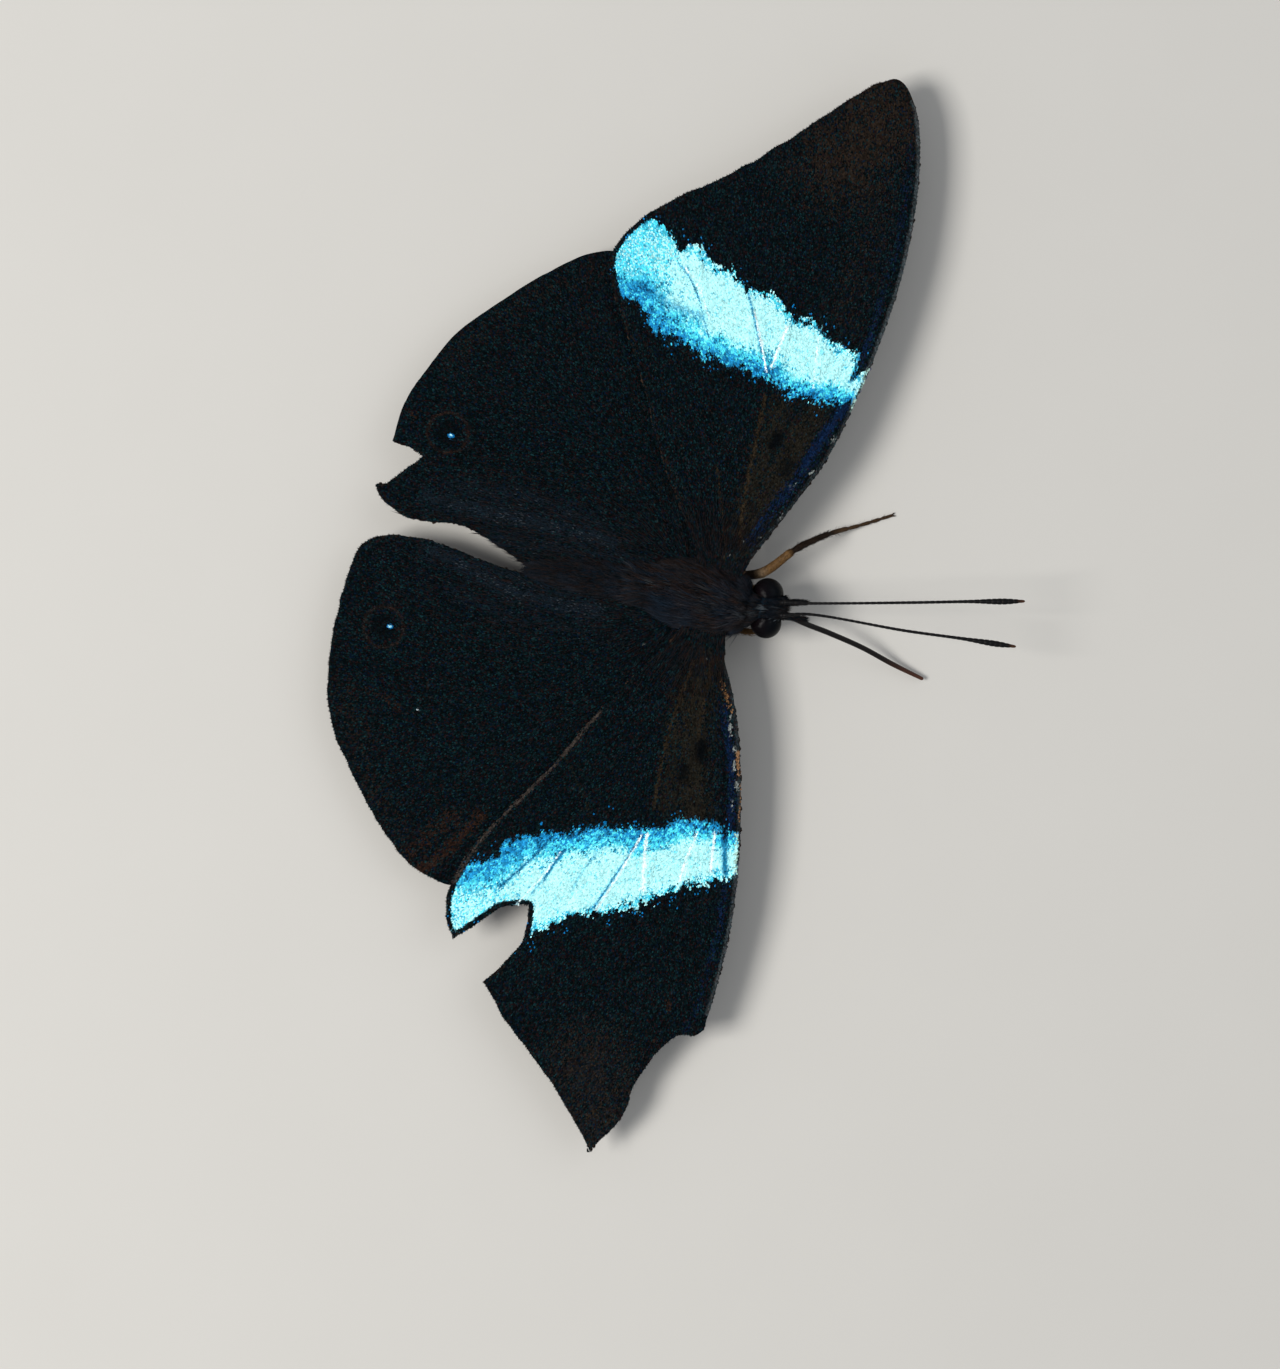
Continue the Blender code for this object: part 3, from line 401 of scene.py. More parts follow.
# Legs: side of the body, place along the thorax, degrees below its side, whether it is
# a small foreleg, and then (side, ahead, up, radius) along it
LEGS = {
    "leg_mid_left": (1, 1.3, 48, False, (
        (3.9, 4.4, 3.5, 0.37), (6.3, 6.5, 4.1, 0.28), (7.4, 7.7, 3.3, 0.23),
        (8.8, 9.6, 1.4, 0.19), (9.7, 11.2, 0.5, 0.14), (10.6, 12.7, 0.14, 0.13),
        (11.4, 14.0, 0.12, 0.11))),
    "leg_mid_right": (-1, 1.0, 48, False, (
        (-4.2, 2.6, 3.3, 0.37), (-6.5, 3.4, 3.7, 0.28), (-7.9, 3.7, 2.8, 0.23),
        (-9.6, 4.0, 1.3, 0.19), (-10.9, 4.1, 0.5, 0.14), (-12.1, 4.1, 0.14, 0.13),
        (-13.5, 4.0, 0.12, 0.11))),
    "leg_hind_left": (1, -1.7, 55, False, (
        (3.6, -3.6, 2.9, 0.37), (5.3, -6.0, 3.0, 0.28), (6.3, -7.4, 2.2, 0.23),
        (7.5, -9.2, 1.1, 0.19), (8.3, -10.4, 0.5, 0.14), (9.0, -11.6, 0.14, 0.13),
        (9.7, -12.9, 0.12, 0.11))),
    "leg_hind_right": (-1, -1.7, 55, False, (
        (-2.4, -3.7, 2.9, 0.37), (-4.2, -6.2, 3.0, 0.28), (-5.3, -7.6, 2.2, 0.23),
        (-6.6, -9.4, 1.1, 0.19), (-7.5, -10.6, 0.5, 0.14), (-8.3, -11.8, 0.14, 0.13),
        (-9.1, -13.1, 0.12, 0.11))),
    "foreleg_left": (1, 2.3, 62, True, (
        (2.5, 3.6, 2.3, 0.26), (2.4, 5.2, 2.6, 0.2), (1.9, 6.4, 2.5, 0.12))),
    "foreleg_right": (-1, 2.3, 62, True, (
        (-1.2, 3.6, 2.3, 0.26), (-0.9, 5.2, 2.6, 0.2), (-0.2, 6.4, 2.5, 0.12))),
}

# Seeds of the noise over wings and body, by what each one shapes
SEEDS = {
    "fringe_nicks": 7, "fringe_fray": 8, "wave": 11, "lobes": 21, "small_lobes": 22,
    "strays": 23, "spikes": 24, "drift": 25, "wobble": 26, "grain": 27, "worn_front": 28,
    "brown": 29, "fine_brown": 30, "rusty_lanes": 31, "bluish_hair": 32, "clusters": 33,
    "grain_lanes": 34, "ripple": 41, "under_grain": 42, "membrane_dice": 51,
}

# Camera over the photo's middle, and the span that its long side shows
VIEW_CENTRE = (-7.6, -3.2)
VIEW_SPAN = 113.9
VIEW_LEVEL = 4.5
VIEW_TURN = math.radians(14)
LENS = 100.0
SENSOR = 36.0


def place_of_frame():
    """What the solids' own centring added, read off the thorax, in metres."""
    low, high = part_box("thorax")
    return np.array([(low.x + high.x) / 2 - THORAX_SIDE * MM, (low.y + high.y) / 2, 0.0])


SHIFT = place_of_frame()


def to_scene(rows):
    """(side, ahead, up) rows in millimetres as scene places in metres."""
    return np.asarray(rows, float) * np.array([MM, -MM, MM]) + SHIFT


# Curves, distances and noise

def smooth_path(points, step):
    """A curve through the points: cubic pieces whose slopes at each point are the
    average of its two neighbouring chords, weighted by the root of their lengths."""
    knots = np.array(points, float)
    chords = np.diff(knots, axis=0)
    lengths = np.linalg.norm(chords[:, :3], axis=1)
    spans = np.sqrt(lengths)[:, None]
    slopes = chords / spans
    inner = (slopes[:-1] * spans[1:] + slopes[1:] * spans[:-1]) / (spans[:-1] + spans[1:])
    tangents = np.vstack([slopes[:1], inner, slopes[-1:]])
    pieces = []
    for i, length in enumerate(lengths):
        count = max(1, round(length / step))
        t = np.arange(count)[:, None] / count
        start = (1 + 2 * t) * (1 - t) ** 2 * knots[i] + t ** 2 * (3 - 2 * t) * knots[i + 1]
        bend = t * (1 - t) ** 2 * tangents[i] - t ** 2 * (1 - t) * tangents[i + 1]
        pieces.append(start + bend * spans[i])
    return np.vstack(pieces + [knots[-1:]])


def unit(rows):
    """Each row at length one."""
    return rows / np.maximum(np.linalg.norm(rows, axis=1), 1e-9)[:, None]


def soft_step(low, high, value):
    """0 below low, 1 above high, and a smooth S between them."""
    share = np.clip((value - low) / (high - low), 0, 1)
    return share * share * (3 - 2 * share)


def inside(points, outline):
    """Which points are inside an outline, by the even-odd test: a line from the point to
    its right crosses the outline an odd number of times."""
    crossings = np.zeros(len(points), bool)
    for (ax, ay), (bx, by) in zip(outline, np.roll(outline, -1, axis=0)):
        if ay == by:
            continue
        spans = (ay > points[:, 1]) != (by > points[:, 1])
        crossings ^= spans & (points[:, 0] < ax + (points[:, 1] - ay) * (bx - ax) / (by - ay))
    return crossings


def nearest_on(points, line):
    """Distance to a line of points, share of its length there, and its direction."""
    best = np.full(len(points), np.inf)
    along = np.zeros(len(points))
    heading = np.zeros((len(points), 2))
    chords = np.diff(line, axis=0)
    for i, (start, chord) in enumerate(zip(line[:-1], chords)):
        offset = points - start
        share = np.clip(offset @ chord / (chord @ chord), 0, 1)
        distance = np.hypot(*(offset - share[:, None] * chord).T)
        nearer = distance < best
        best[nearer] = distance[nearer]
        along[nearer] = (i + share[nearer]) / len(chords)
        heading[nearer] = chord / np.linalg.norm(chord)
    return best, along, heading


def noise(points, size, seed):
    """Smooth noise from 0 to 1: random values on a lattice with cells of one size,
    blended between the corners of each cell."""
    table = np.random.default_rng(seed).random((256, 256))
    place = points / size
    cell = np.floor(place).astype(int)
    share = place - cell
    share = share * share * (3 - 2 * share)
    x, y = share.T
    i, j = cell.T % 256
    k, m = (cell.T + 1) % 256
    low = table[i, j] * (1 - x) + table[k, j] * x
    high = table[i, m] * (1 - x) + table[k, m] * x
    return low * (1 - y) + high * y


def ring_line(outline):
    """A closed outline as a line that ends where it starts."""
    return np.vstack([outline, outline[:1]])


def bell_beside(points, line, half, step=0.4):
    """1 on a curve through some points, falling as a bell of one half width beside it."""
    return np.exp(-(nearest_on(points, smooth_path(line, step))[0] / half) ** 2)


def redraw(dice, factor):
    """A second random number from 0 to 1 for each first one."""
    return (dice * factor) % 1


# Meshes

def add_piece(name, rows, faces, material, replaced=(), smooth=True,
              marks=None, bake_uv=None, closed=False):
    """A mesh object from rows in millimetres and faces of one size. Marks are named
    numbers for each vertex, and bake_uv is a place for each vertex."""
    mesh = bpy.data.meshes.new(name)
    faces = np.asarray(faces, np.int32)
    mesh.vertices.add(len(rows))
    mesh.vertices.foreach_set("co", to_scene(rows).astype(np.float32).ravel())
    mesh.loops.add(faces.size)
    mesh.loops.foreach_set("vertex_index", faces.ravel())
    mesh.polygons.add(len(faces))
    mesh.polygons.foreach_set("loop_start", np.arange(0, faces.size, faces.shape[1]))
    mesh.update(calc_edges=True)
    if closed:
        shape = bmesh.new()
        shape.from_mesh(mesh)
        bmesh.ops.recalc_face_normals(shape, faces=shape.faces)
        shape.to_mesh(mesh)
        shape.free()
    for mark, values in (marks or {}).items():
        layer = mesh.attributes.new(mark, "FLOAT", "POINT")
        layer.data.foreach_set("value", np.asarray(values, np.float32))
    if bake_uv is not None:
        corners = np.empty(len(mesh.loops), np.int32)
        mesh.loops.foreach_get("vertex_index", corners)
        layer = mesh.uv_layers.new(name="OFBake")
        layer.uv.foreach_set("vector", bake_uv[corners].astype(np.float32).ravel())
    if smooth:
        mesh.shade_smooth()
    mesh.materials.append(material)
    piece = bpy.data.objects.new(name, mesh)
    bpy.context.scene.collection.objects.link(piece)
    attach(piece, BODY)
    if replaced:
        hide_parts(*replaced)
    return piece


def ring_triangles(rings, sides):
    """Triangles between rings of points, with a fan to a last point at each end."""
    ring, side = np.meshgrid(np.arange(rings - 1), np.arange(sides), indexing="ij")
    ring, side = ring.ravel(), side.ravel()
    after = (side + 1) % sides
    a, b = ring * sides + side, ring * sides + after
    c, d = b + sides, a + sides
    around = np.arange(sides)
    turn = (around + 1) % sides
    first = np.full(sides, rings * sides)
    last_ring = (rings - 1) * sides
    return np.vstack([np.column_stack([a, b, c]), np.column_stack([a, c, d]),
                      np.column_stack([turn, around, first]),
                      np.column_stack([last_ring + around, last_ring + turn, first + 1])])


def path_frame(centres):
    """Direction of a path at each point, and two directions square to it."""
    along = unit(np.gradient(centres, axis=0))
    upward = unit(np.array([0, 0, 1.0]) - along[:, 2:3] * along)
    return along, upward, np.cross(along, upward)


def tube_rows(centres, radii, sides, section=None):
    """A profile carried along a path: rings of radius times the section's factor for
    each angle, where the section is given."""
    _, upward, sideways = path_frame(centres)
    angles = np.arange(sides) * 2 * math.pi / sides
    factor = np.ones(sides) if section is None else section(angles)
    reach = radii[:, None] * factor[None, :]
    rings = (centres[:, None]
             + (reach * np.cos(angles))[..., None] * upward[:, None]
             + (reach * np.sin(angles))[..., None] * sideways[:, None])
    return np.vstack([rings.reshape(-1, 3), centres[:1], centres[-1:]])


def add_tube(name, centres, radii, sides, material, replaced=(), section=None,
             marks=None):
    """A closed tube along a path. Marks are numbers for each point of the path."""
    rows = tube_rows(centres, radii, sides, section)
    spread = {mark: np.concatenate([np.repeat(values, sides), values[:1], values[-1:]])
              for mark, values in (marks or {}).items()}
    return add_piece(name, rows, ring_triangles(len(centres), sides), material,
                     replaced, marks=spread, closed=True)


def tuft_rows(roots, normals, lie, length, width, lift, curl, sway):
    """Three-sided tapered spikes, one a row. Each leaves its root at the angle lift
    above the lie, bends down by curl at its half and ends in a point."""
    across = unit(np.cross(normals, lie))
    lie = unit(np.cross(across, normals))
    lie = unit(lie + across * sway[:, None])
    across = unit(np.cross(normals, lie))

    def heading(angle):
        return lie * np.cos(angle)[:, None] + normals * np.sin(angle)[:, None]

    half = roots + heading(lift) * (0.5 * length)[:, None]
    tip = half + heading(lift - curl) * (0.5 * length)[:, None]
    base = roots - normals * (0.6 * width)[:, None]
    third = 2 * math.pi / 3
    rings = []
    for centre, share in ((base, 1.0), (half, 0.85)):
        for turn in range(3):
            angle = turn * third + math.pi / 2
            rings.append(centre + across * (math.cos(angle) * share * width)[:, None]
                         + normals * (math.sin(angle) * 0.5 * share * width)[:, None])
    return np.stack(rings + [tip], axis=1)


TUFT_FACES = np.array([(0, 1, 4), (0, 4, 3), (1, 2, 5), (1, 5, 4), (2, 0, 3), (2, 3, 5),
                       (3, 4, 6), (4, 5, 6), (5, 3, 6)])
TUFT_ALONG = np.array([0, 0, 0, 0.5, 0.5, 0.5, 1.0])
TUFT_PATCH = np.array([(0, 0), (1, 0), (0.5, 0.2), (0.1, 0.5), (0.9, 0.5), (0.5, 0.6),
                       (0.5, 1.0)])


def add_tufts(name, tufts, bake_roots, material, marks, patches=TUFT_PATCH,
              faces=TUFT_FACES, along=TUFT_ALONG, smooth=True):
    """One piece from many like shapes: tufts is (count, points, 3), and each takes a
    small patch of the bake map at its root's place."""
    count, points = tufts.shape[:2]
    all_faces = (faces[None] + (np.arange(count) * points)[:, None, None]).reshape(-1, 3)
    spread = {mark: np.repeat(values, points) for mark, values in marks.items()}
    spread["along"] = np.tile(along, count)
    uv = bake_roots[:, None] + (patches[None] - 0.5) * BAKE_PATCH
    return add_piece(name, tufts.reshape(-1, 3), all_faces, material,
                     smooth=smooth, marks=spread, bake_uv=uv.reshape(-1, 2))


# Body

def head_place(across, forward, rise):
    """A place given in the turned head's own directions."""
    return (HEAD_CENTRE[0] + across * math.cos(HEAD_TURN) + forward * math.sin(HEAD_TURN),
            HEAD_CENTRE[1] - across * math.sin(HEAD_TURN) + forward * math.cos(HEAD_TURN),
            HEAD_CENTRE[2] + rise)


def thorax_taper(ahead):
    """Share of the thorax's full width and height at a place along it, an oval."""
    inner = np.clip(1 - np.abs(ahead / THORAX_HALF[1]) ** THORAX_OVAL, 0, 1)
    return inner ** (1 / THORAX_OVAL)


def thorax_flank(ahead, up):
    """Half width of the solid thorax at a place along it and a height."""
    taper = thorax_taper(ahead)
    rise = (up - THORAX_UP) / (THORAX_HALF[2] * taper)
    return THORAX_HALF[0] * taper * np.sqrt(1 - np.minimum(rise ** 2, THORAX_FLANK_CAP))


def abdomen_half_width(along):
    """Half width of the abdomen at a share of its length: an oval, widest near its front."""
    return ABDOMEN_HALF_WIDTH * np.sqrt(1 - ((along - ABDOMEN_WIDEST) / ABDOMEN_SHRINK) ** 2)


SKIN_RINGS = 300
SKIN_SIDES = 88
BODY_FRONT = 7.0
BODY_REAR = -14.72
COAT_DEPTH = 0.4
ABDOMEN_COAT = 0.22
HEAD_COAT = 0.22
RING_DEPTH = 0.075
GROOVE_DEPTH = 0.10
SHIELD_HEIGHT = 0.12
CREASE_DEPTH = 0.12
NECK_HALF = 1.25
NECK_AHEAD = 4.1
NECK_REACH = 1.3
BODY_LINE = ((-14.8, -0.6, 4.0), (-9.5, 0.0, 4.22), (-4.0, 0.5, 4.4), (0.0, 0.6, 4.6),
             (3.4, 0.75, 4.72), (5.5, 1.1, 4.9), (7.2, 1.35, 4.9))
BODY_SAMPLES = smooth_path(BODY_LINE, 0.1)


def body_middle(ahead):
    """The body's middle line at places along it, read off between its samples."""
    side = np.interp(ahead, BODY_SAMPLES[:, 0], BODY_SAMPLES[:, 1])
    rise = np.interp(ahead, BODY_SAMPLES[:, 0], BODY_SAMPLES[:, 2])
    return np.stack([side, ahead, rise], axis=-1)


def body_size(ahead):
    """Half width and half height of the skin at places along it. Each is the blend of
    four ovals, for head, neck, thorax and abdomen: the cube root of the sum of their
    cubes. The abdomen's rings are each a little narrower in front than behind."""
    head = np.sqrt(np.clip(1 - ((ahead - HEAD_CENTRE[1]) / (HEAD_HALF[1] - 0.1)) ** 2, 0, 1))
    thorax = thorax_taper(ahead)
    along = (ahead - ABDOMEN_FRONT[1] - 0.5) / (ABDOMEN_REAR[1] - ABDOMEN_FRONT[1] - 0.5)
    oval = np.clip(1 - ((along - ABDOMEN_WIDEST) / (ABDOMEN_SHRINK - 0.035)) ** 2, 0, 1)
    phase = (np.clip(along, 0, 1) * ABDOMEN_SEGMENTS) % 1
    segment = 1 - RING_DEPTH * (1 - phase) ** 2 * (along > 0.02)
    abdomen = (ABDOMEN_HALF_WIDTH - ABDOMEN_COAT) * np.sqrt(oval) * segment
    neck = NECK_HALF * np.sqrt(np.clip(1 - ((ahead - NECK_AHEAD) / NECK_REACH) ** 2, 0, 1))
    return [np.cbrt(((HEAD_HALF[way] - HEAD_COAT) * head) ** 3 + neck ** 3
                    + ((THORAX_HALF[way] - COAT_DEPTH) * thorax) ** 3 + abdomen ** 3)
            for way in (0, 2)]


def body_points(ahead, angle):
    """The skin as a function of the place along the body and the angle round it: an
    oval of body_size about the body's middle line, with a shallow groove between the
    thorax's two flight muscles and a shield behind them."""
    middle, _, rise = body_middle(ahead).T
    width, height = body_size(ahead)
    top = np.clip(np.sin(angle), 0, 1) ** 8
    groove = GROOVE_DEPTH * top * np.exp(-(np.cos(angle) / 0.12) ** 2)
    groove *= np.exp(-(ahead / 2.2) ** 2)
    shield = SHIELD_HEIGHT * top * np.exp(-((ahead + 2.9) / 0.45) ** 2)
    crease = CREASE_DEPTH * top * np.exp(-((ahead + 2.3) / 0.16) ** 2)
    swell = 1 + (shield - groove - crease) / 2.3
    return np.stack([middle + width * swell * np.cos(angle), ahead,
                     rise + height * swell * np.sin(angle)], axis=-1)


def body_frame(ahead, angle):
    """Points of the skin, outward normals and the direction towards the rear, from
    small steps along both of its parameters."""
    step = 0.01
    here = body_points(ahead, angle)
    rearward = unit(body_points(ahead - step, angle) - here)
    around = unit(body_points(ahead, angle + step) - here)
    normal = unit(np.cross(around, rearward))
    outward = np.sign((normal * (here - body_middle(ahead))).sum(1))
    return here, normal * outward[:, None], rearward


def body_marks(ahead, angle, dice):
    """Colour marks of skin and coat alike: rusty streaks along the thorax, a rusty line
    on the abdomen's right side, bluish hair beside the right wings' roots, and pale hair
    on the crown, the nape and the belly."""
    rows = noise(np.column_stack([ahead / 6.0, angle * 3.4]), 0.26, SEEDS["rusty_lanes"])
    rust = 0.75 * soft_step(0.5, 0.9, rows) * np.exp(-((ahead - 0.2) / 3.6) ** 4)
    right = soft_step(-0.3, 0.6, -np.cos(angle))
    bluish = 0.7 * right * np.exp(-((ahead + 1.6) / 1.6) ** 2)
    patches = noise(np.column_stack([ahead, angle * 2]), 0.8, SEEDS["bluish_hair"])
    bluish += 0.4 * soft_step(0.5, 0.7, patches)
    turn = np.degrees(angle)
    line = 0.35 * np.exp(-((turn - 128) / 7) ** 2) * soft_step(-8.0, -9.5, ahead)
    belly = soft_step(-0.35, -0.75, np.sin(angle))
    rust = np.maximum(np.maximum(rust, line), 0.6 * belly)
    crown = np.exp(-((ahead - 5.95) / 0.55) ** 2 - ((turn - 88) / 8) ** 2)
    nape = np.exp(-((ahead - 4.3) / 0.5) ** 2 - ((turn - 112) / 8) ** 2)
    pale = np.maximum(0.8 * np.maximum(crown, nape), 0.5 * belly)
    return {"rust": np.clip(rust * (0.5 + dice), 0, 1),
            "azure": np.clip(bluish * (0.3 + dice), 0, 1),
            "pale": np.clip(pale * (1.6 * dice - 0.4), 0, 1)}


def build_skin(material):
    """One closed skin from the face to the abdomen's tip, on a grid of places along the
    body, closer together towards its ends, and angles round it."""
    rings, sides = SKIN_RINGS, SKIN_SIDES
    turn = np.linspace(0.02, math.pi - 0.02, rings)
    share = 0.75 * (1 - np.cos(turn)) / 2 + 0.25 * turn / math.pi
    ahead = BODY_FRONT + share * (BODY_REAR - BODY_FRONT)
    angles = np.arange(sides) * 2 * math.pi / sides
    grid_ahead = np.repeat(ahead, sides)
    grid_angle = np.tile(angles, rings)
    rows = body_points(grid_ahead, grid_angle)
    ends = np.array([rows[:sides].mean(0), rows[-sides:].mean(0)])
    marks = body_marks(grid_ahead, grid_angle, np.full(len(rows), 0.5))
    marks = {mark: np.append(values, [0, 0]) for mark, values in marks.items()}
    marks["along"] = np.full(len(rows) + 2, 0.2)
    add_piece("body_skin", np.vstack([rows, ends]), ring_triangles(rings, sides), material,
              ("thorax", "abdomen", "head"), marks=marks, closed=True)


def body_bake_place(ahead, angle):
    """Root places on an unwrap of the skin: along the body one way, round it the other."""
    share = (ahead - BODY_REAR) / (BODY_FRONT - BODY_REAR)
    return np.column_stack([0.01 + 0.98 * share, 0.01 + 0.98 * (angle / (2 * math.pi)) % 1])


def clear_of_eyes(points):
    """Whether points are outside both eyes."""
    clear = np.ones(len(points), bool)
    for direction in (1, -1):
        centre = np.array(head_place(direction * EYE_ACROSS, 0.0, 0.0))
        clear &= np.linalg.norm((points - centre) / np.array(EYE_RADII), axis=1) > 1.02
    return clear


# Coats: name, tufts, where they start and end along the body, length and half width in
# millimetres, lift and curl in degrees, and seed
COATS = (
    ("fur_thorax", 16500, (-5.2, 3.9), 1.30, 0.024, 27, 26, 101),
    ("fur_abdomen", 11500, (-14.6, -4.0), 0.75, 0.021, 18, 14, 102),
    ("fur_head", 9000, (4.3, 6.95), 0.52, 0.017, 40, 24, 103),
    ("fur_collar", 5200, (3.2, 4.9), 0.95, 0.021, 44, 36, 104),
    ("fur_long", 5600, (-5.6, 3.9), 1.55, 0.046, 15, 11, 105),
    ("fur_crown", 70, (4.6, 6.4), 0.85, 0.045, 24, 12, 106),
)
# Pale tufts of the crown, as places along the body and degrees round it, and painted
# glints on the back, single pale specks, as sides and places along it
PALE_TUFTS = ((5.5, 92.0), (4.7, 108.0), (6.5, 130.0))
FUR_PAINTED_GLINTS = ((0.8, -3.0), (-1.8, 0.2), (-1.95, 0.55), (0.5, 1.0), (0.7, -3.5))
PAINTED_GLINT_REACH = 0.11


def lie_of_hair(name, ahead, angle, normals, rearward, lift):
    """Which way the hairs of a coat point and the degrees at which they leave the skin:
    rearward, but forward and up on the face and forward on the crest, and steeper on the
    crest and over the thorax's rear end."""
    lie = rearward
    lean = np.full(len(ahead), float(lift))
    if name == "fur_head":
        face = (ahead > 6.0)[:, None]
        lie = np.where(face, unit(normals * 0.2 + np.array([0, 0.6, 0.75])), lie)
        crest = (np.sin(angle) > 0.75) & (ahead > 5.0)
        lie = np.where(crest[:, None], -rearward, lie)
        lean += 12 * crest
    if name in ("fur_thorax", "fur_long"):
        lean += 24 * np.exp(-((ahead + 3.6) / 0.55) ** 2) * (np.sin(angle) > -0.2)
    return lie, lean


def coat_marks(name, points, ahead, angle, dice, draw):
    """The body's colour marks for the hairs of one coat. Long hairs are rusty, bluish or
    pale one by one, and a few painted glints on the back are pale in every coat."""
    total = len(points)
    marks = body_marks(ahead, angle, dice)
    marks["dice"] = dice
    lot = draw.random(total)
    if name in ("fur_long", "fur_thorax", "fur_abdomen"):
        marks["dice"] = np.clip(0.85 * dice + 0.5 * draw.random(total) ** 2 - 0.04, 0, 1)
    if name == "fur_long":
        marks["rust"] = np.maximum(marks["rust"], 0.85 * (lot < 0.20))
        marks["azure"] = np.maximum(marks["azure"], 0.9 * (lot > 0.80))
        marks["pale"] = np.maximum(marks["pale"], 0.28 * (np.abs(lot - 0.5) < 0.05))
    if name == "fur_crown":
        marks["pale"] = 0.3 + 0.6 * lot
    # Painted glints: the hairs at a few spots on the back are pale
    for spot in FUR_PAINTED_GLINTS:
        near = np.linalg.norm(points[:, :2] - np.array(spot), axis=1) < PAINTED_GLINT_REACH
        marks["pale"] = np.maximum(marks["pale"], 4.0 * near * (np.sin(angle) > 0))
    return marks


def build_body_fur(material):
    """Tufts over the skin in coats: shaggy on the thorax with longer hair over it,
    combed flat on the abdomen, short on the head with a crest and pale tufts, and a
    collar behind it. Neighbouring hairs lie and curl alike, in locks."""
    for name, count, (rear, front), length, width, lift, curl, seed in COATS:
        draw = np.random.default_rng(seed)
        ahead = draw.uniform(rear, front, count)
        angle = draw.uniform(0, 2 * math.pi, count)
        if name == "fur_crown":
            group = draw.integers(0, len(PALE_TUFTS), count)
            ahead, angle = np.array(PALE_TUFTS)[group].T
            ahead = ahead + draw.normal(0, 0.10, count)
            angle = np.radians(angle + draw.normal(0, 4, count))
        points, normals, rearward = body_frame(ahead, angle)
        kept = clear_of_eyes(points + normals * 0.1)
        ahead, angle, points, normals = ahead[kept], angle[kept], points[kept], normals[kept]
        total = len(ahead)
        lie, lean = lie_of_hair(name, ahead, angle, normals, rearward[kept], lift)
        locks = noise(np.column_stack([ahead * 0.24, angle * 3.4]), 0.30, seed)
        long = length * draw.uniform(0.65, 1.3, total) * (0.75 + 0.5 * locks)
        long *= np.where(np.sin(angle) < -0.2, 0.6, 1.0)
        if name == "fur_abdomen":
            long *= 1 + 0.7 * np.exp(-((ahead + 4.4) / 0.9) ** 2)
        dice = np.clip(0.45 * draw.random(total) + 1.5 * (locks - 0.5) + 0.25, 0, 1)
        tufts = tuft_rows(points, normals, lie, long,
                          width * draw.uniform(0.8, 1.25, total),
                          np.radians(lean + 16 * (locks - 0.5) + draw.normal(0, 5, total)),
                          np.radians(curl + draw.normal(0, 6, total)),
                          0.7 * (locks - 0.5) + draw.normal(0, 0.14, total))
        marks = coat_marks(name, points, ahead, angle, dice, draw)
        add_tufts(name, tufts, body_bake_place(ahead, angle), material, marks)


# Head parts

EYE_ACROSS = 1.22
EYE_RADII = (1.27, 1.28, 1.36)
EYE_RINGS = 110
EYE_SIDES = 150
EYE_TURN = math.pi * 0.62
FACETS = 1500
FACET_HEIGHT = 0.018
FACET_SPAN = 1.35
DOME_REACH = 1.2


def build_eyes(material):
    """Each eye is an oval ball pushed into the flank of the head, with a low dome over
    each facet. The facets' centres turn by the golden angle from one pole to the other,
    and the dome falls with the square of the distance to the nearest centre."""
    golden = math.pi * (3 - math.sqrt(5))
    index = np.arange(FACETS) + 0.5
    height = 1 - index / FACETS * FACET_SPAN
    reach = np.sqrt(1 - height ** 2)
    centres = np.column_stack([height, reach * np.cos(index * golden),
                               reach * np.sin(index * golden)])
    turn = np.linspace(0.02, EYE_TURN, EYE_RINGS)
    around = np.arange(EYE_SIDES) * 2 * math.pi / EYE_SIDES
    grid_turn, grid_around = np.repeat(turn, EYE_SIDES), np.tile(around, EYE_RINGS)
    ball = np.column_stack([np.cos(grid_turn), np.sin(grid_turn) * np.cos(grid_around),
                            np.sin(grid_turn) * np.sin(grid_around)])
    closeness = np.concatenate([(block @ centres.T).max(1)
                                for block in np.array_split(ball, 12)])
    facet_size = math.sqrt(2 * math.pi * FACET_SPAN / FACETS / math.pi)
    distance = np.sqrt(np.maximum(2 - 2 * closeness, 0)) / facet_size
    distance = np.clip(distance, 0, DOME_REACH)
    dome = 1 + FACET_HEIGHT * (1 - distance ** 2)
    ball = np.vstack([ball * dome[:, None], [[1, 0, 0]], [[math.cos(turn[-1]), 0, 0]]])
    # Height and forward share of each point, which place the eye's painted reflection
    marks = {"facet": np.append(distance, [0, 0]),
             "rise": (ball[:, 2] + 1) / 2, "front": np.clip(0.5 + 0.7 * ball[:, 1], 0, 1)}
    for name, direction in (("eye_left", 1), ("eye_right", -1)):
        own = ball * np.array(EYE_RADII)
        across = direction * (own[:, 0] + EYE_ACROSS)
        rows = np.column_stack(head_place(across, own[:, 1], own[:, 2]))
        add_piece(name + "_ball", rows, ring_triangles(EYE_RINGS, EYE_SIDES), material,
                  (name,), marks=marks, closed=True)


def head_surface(direction, depth):
    """Where a line from the head's centre leaves the solid head, moved in by a depth."""
    line = np.array(direction, float)
    reach = 1 / np.linalg.norm(line / np.array(HEAD_HALF))
    return head_place(*(line * (reach - depth / np.linalg.norm(line))))


def ringed(share, count, depth):
    """A radius factor that dips at the joint between each two of a number of rings."""
    phase = (share * count) % 1
    return 1 - depth * np.exp(-(np.minimum(phase, 1 - phase) / 0.13) ** 2)


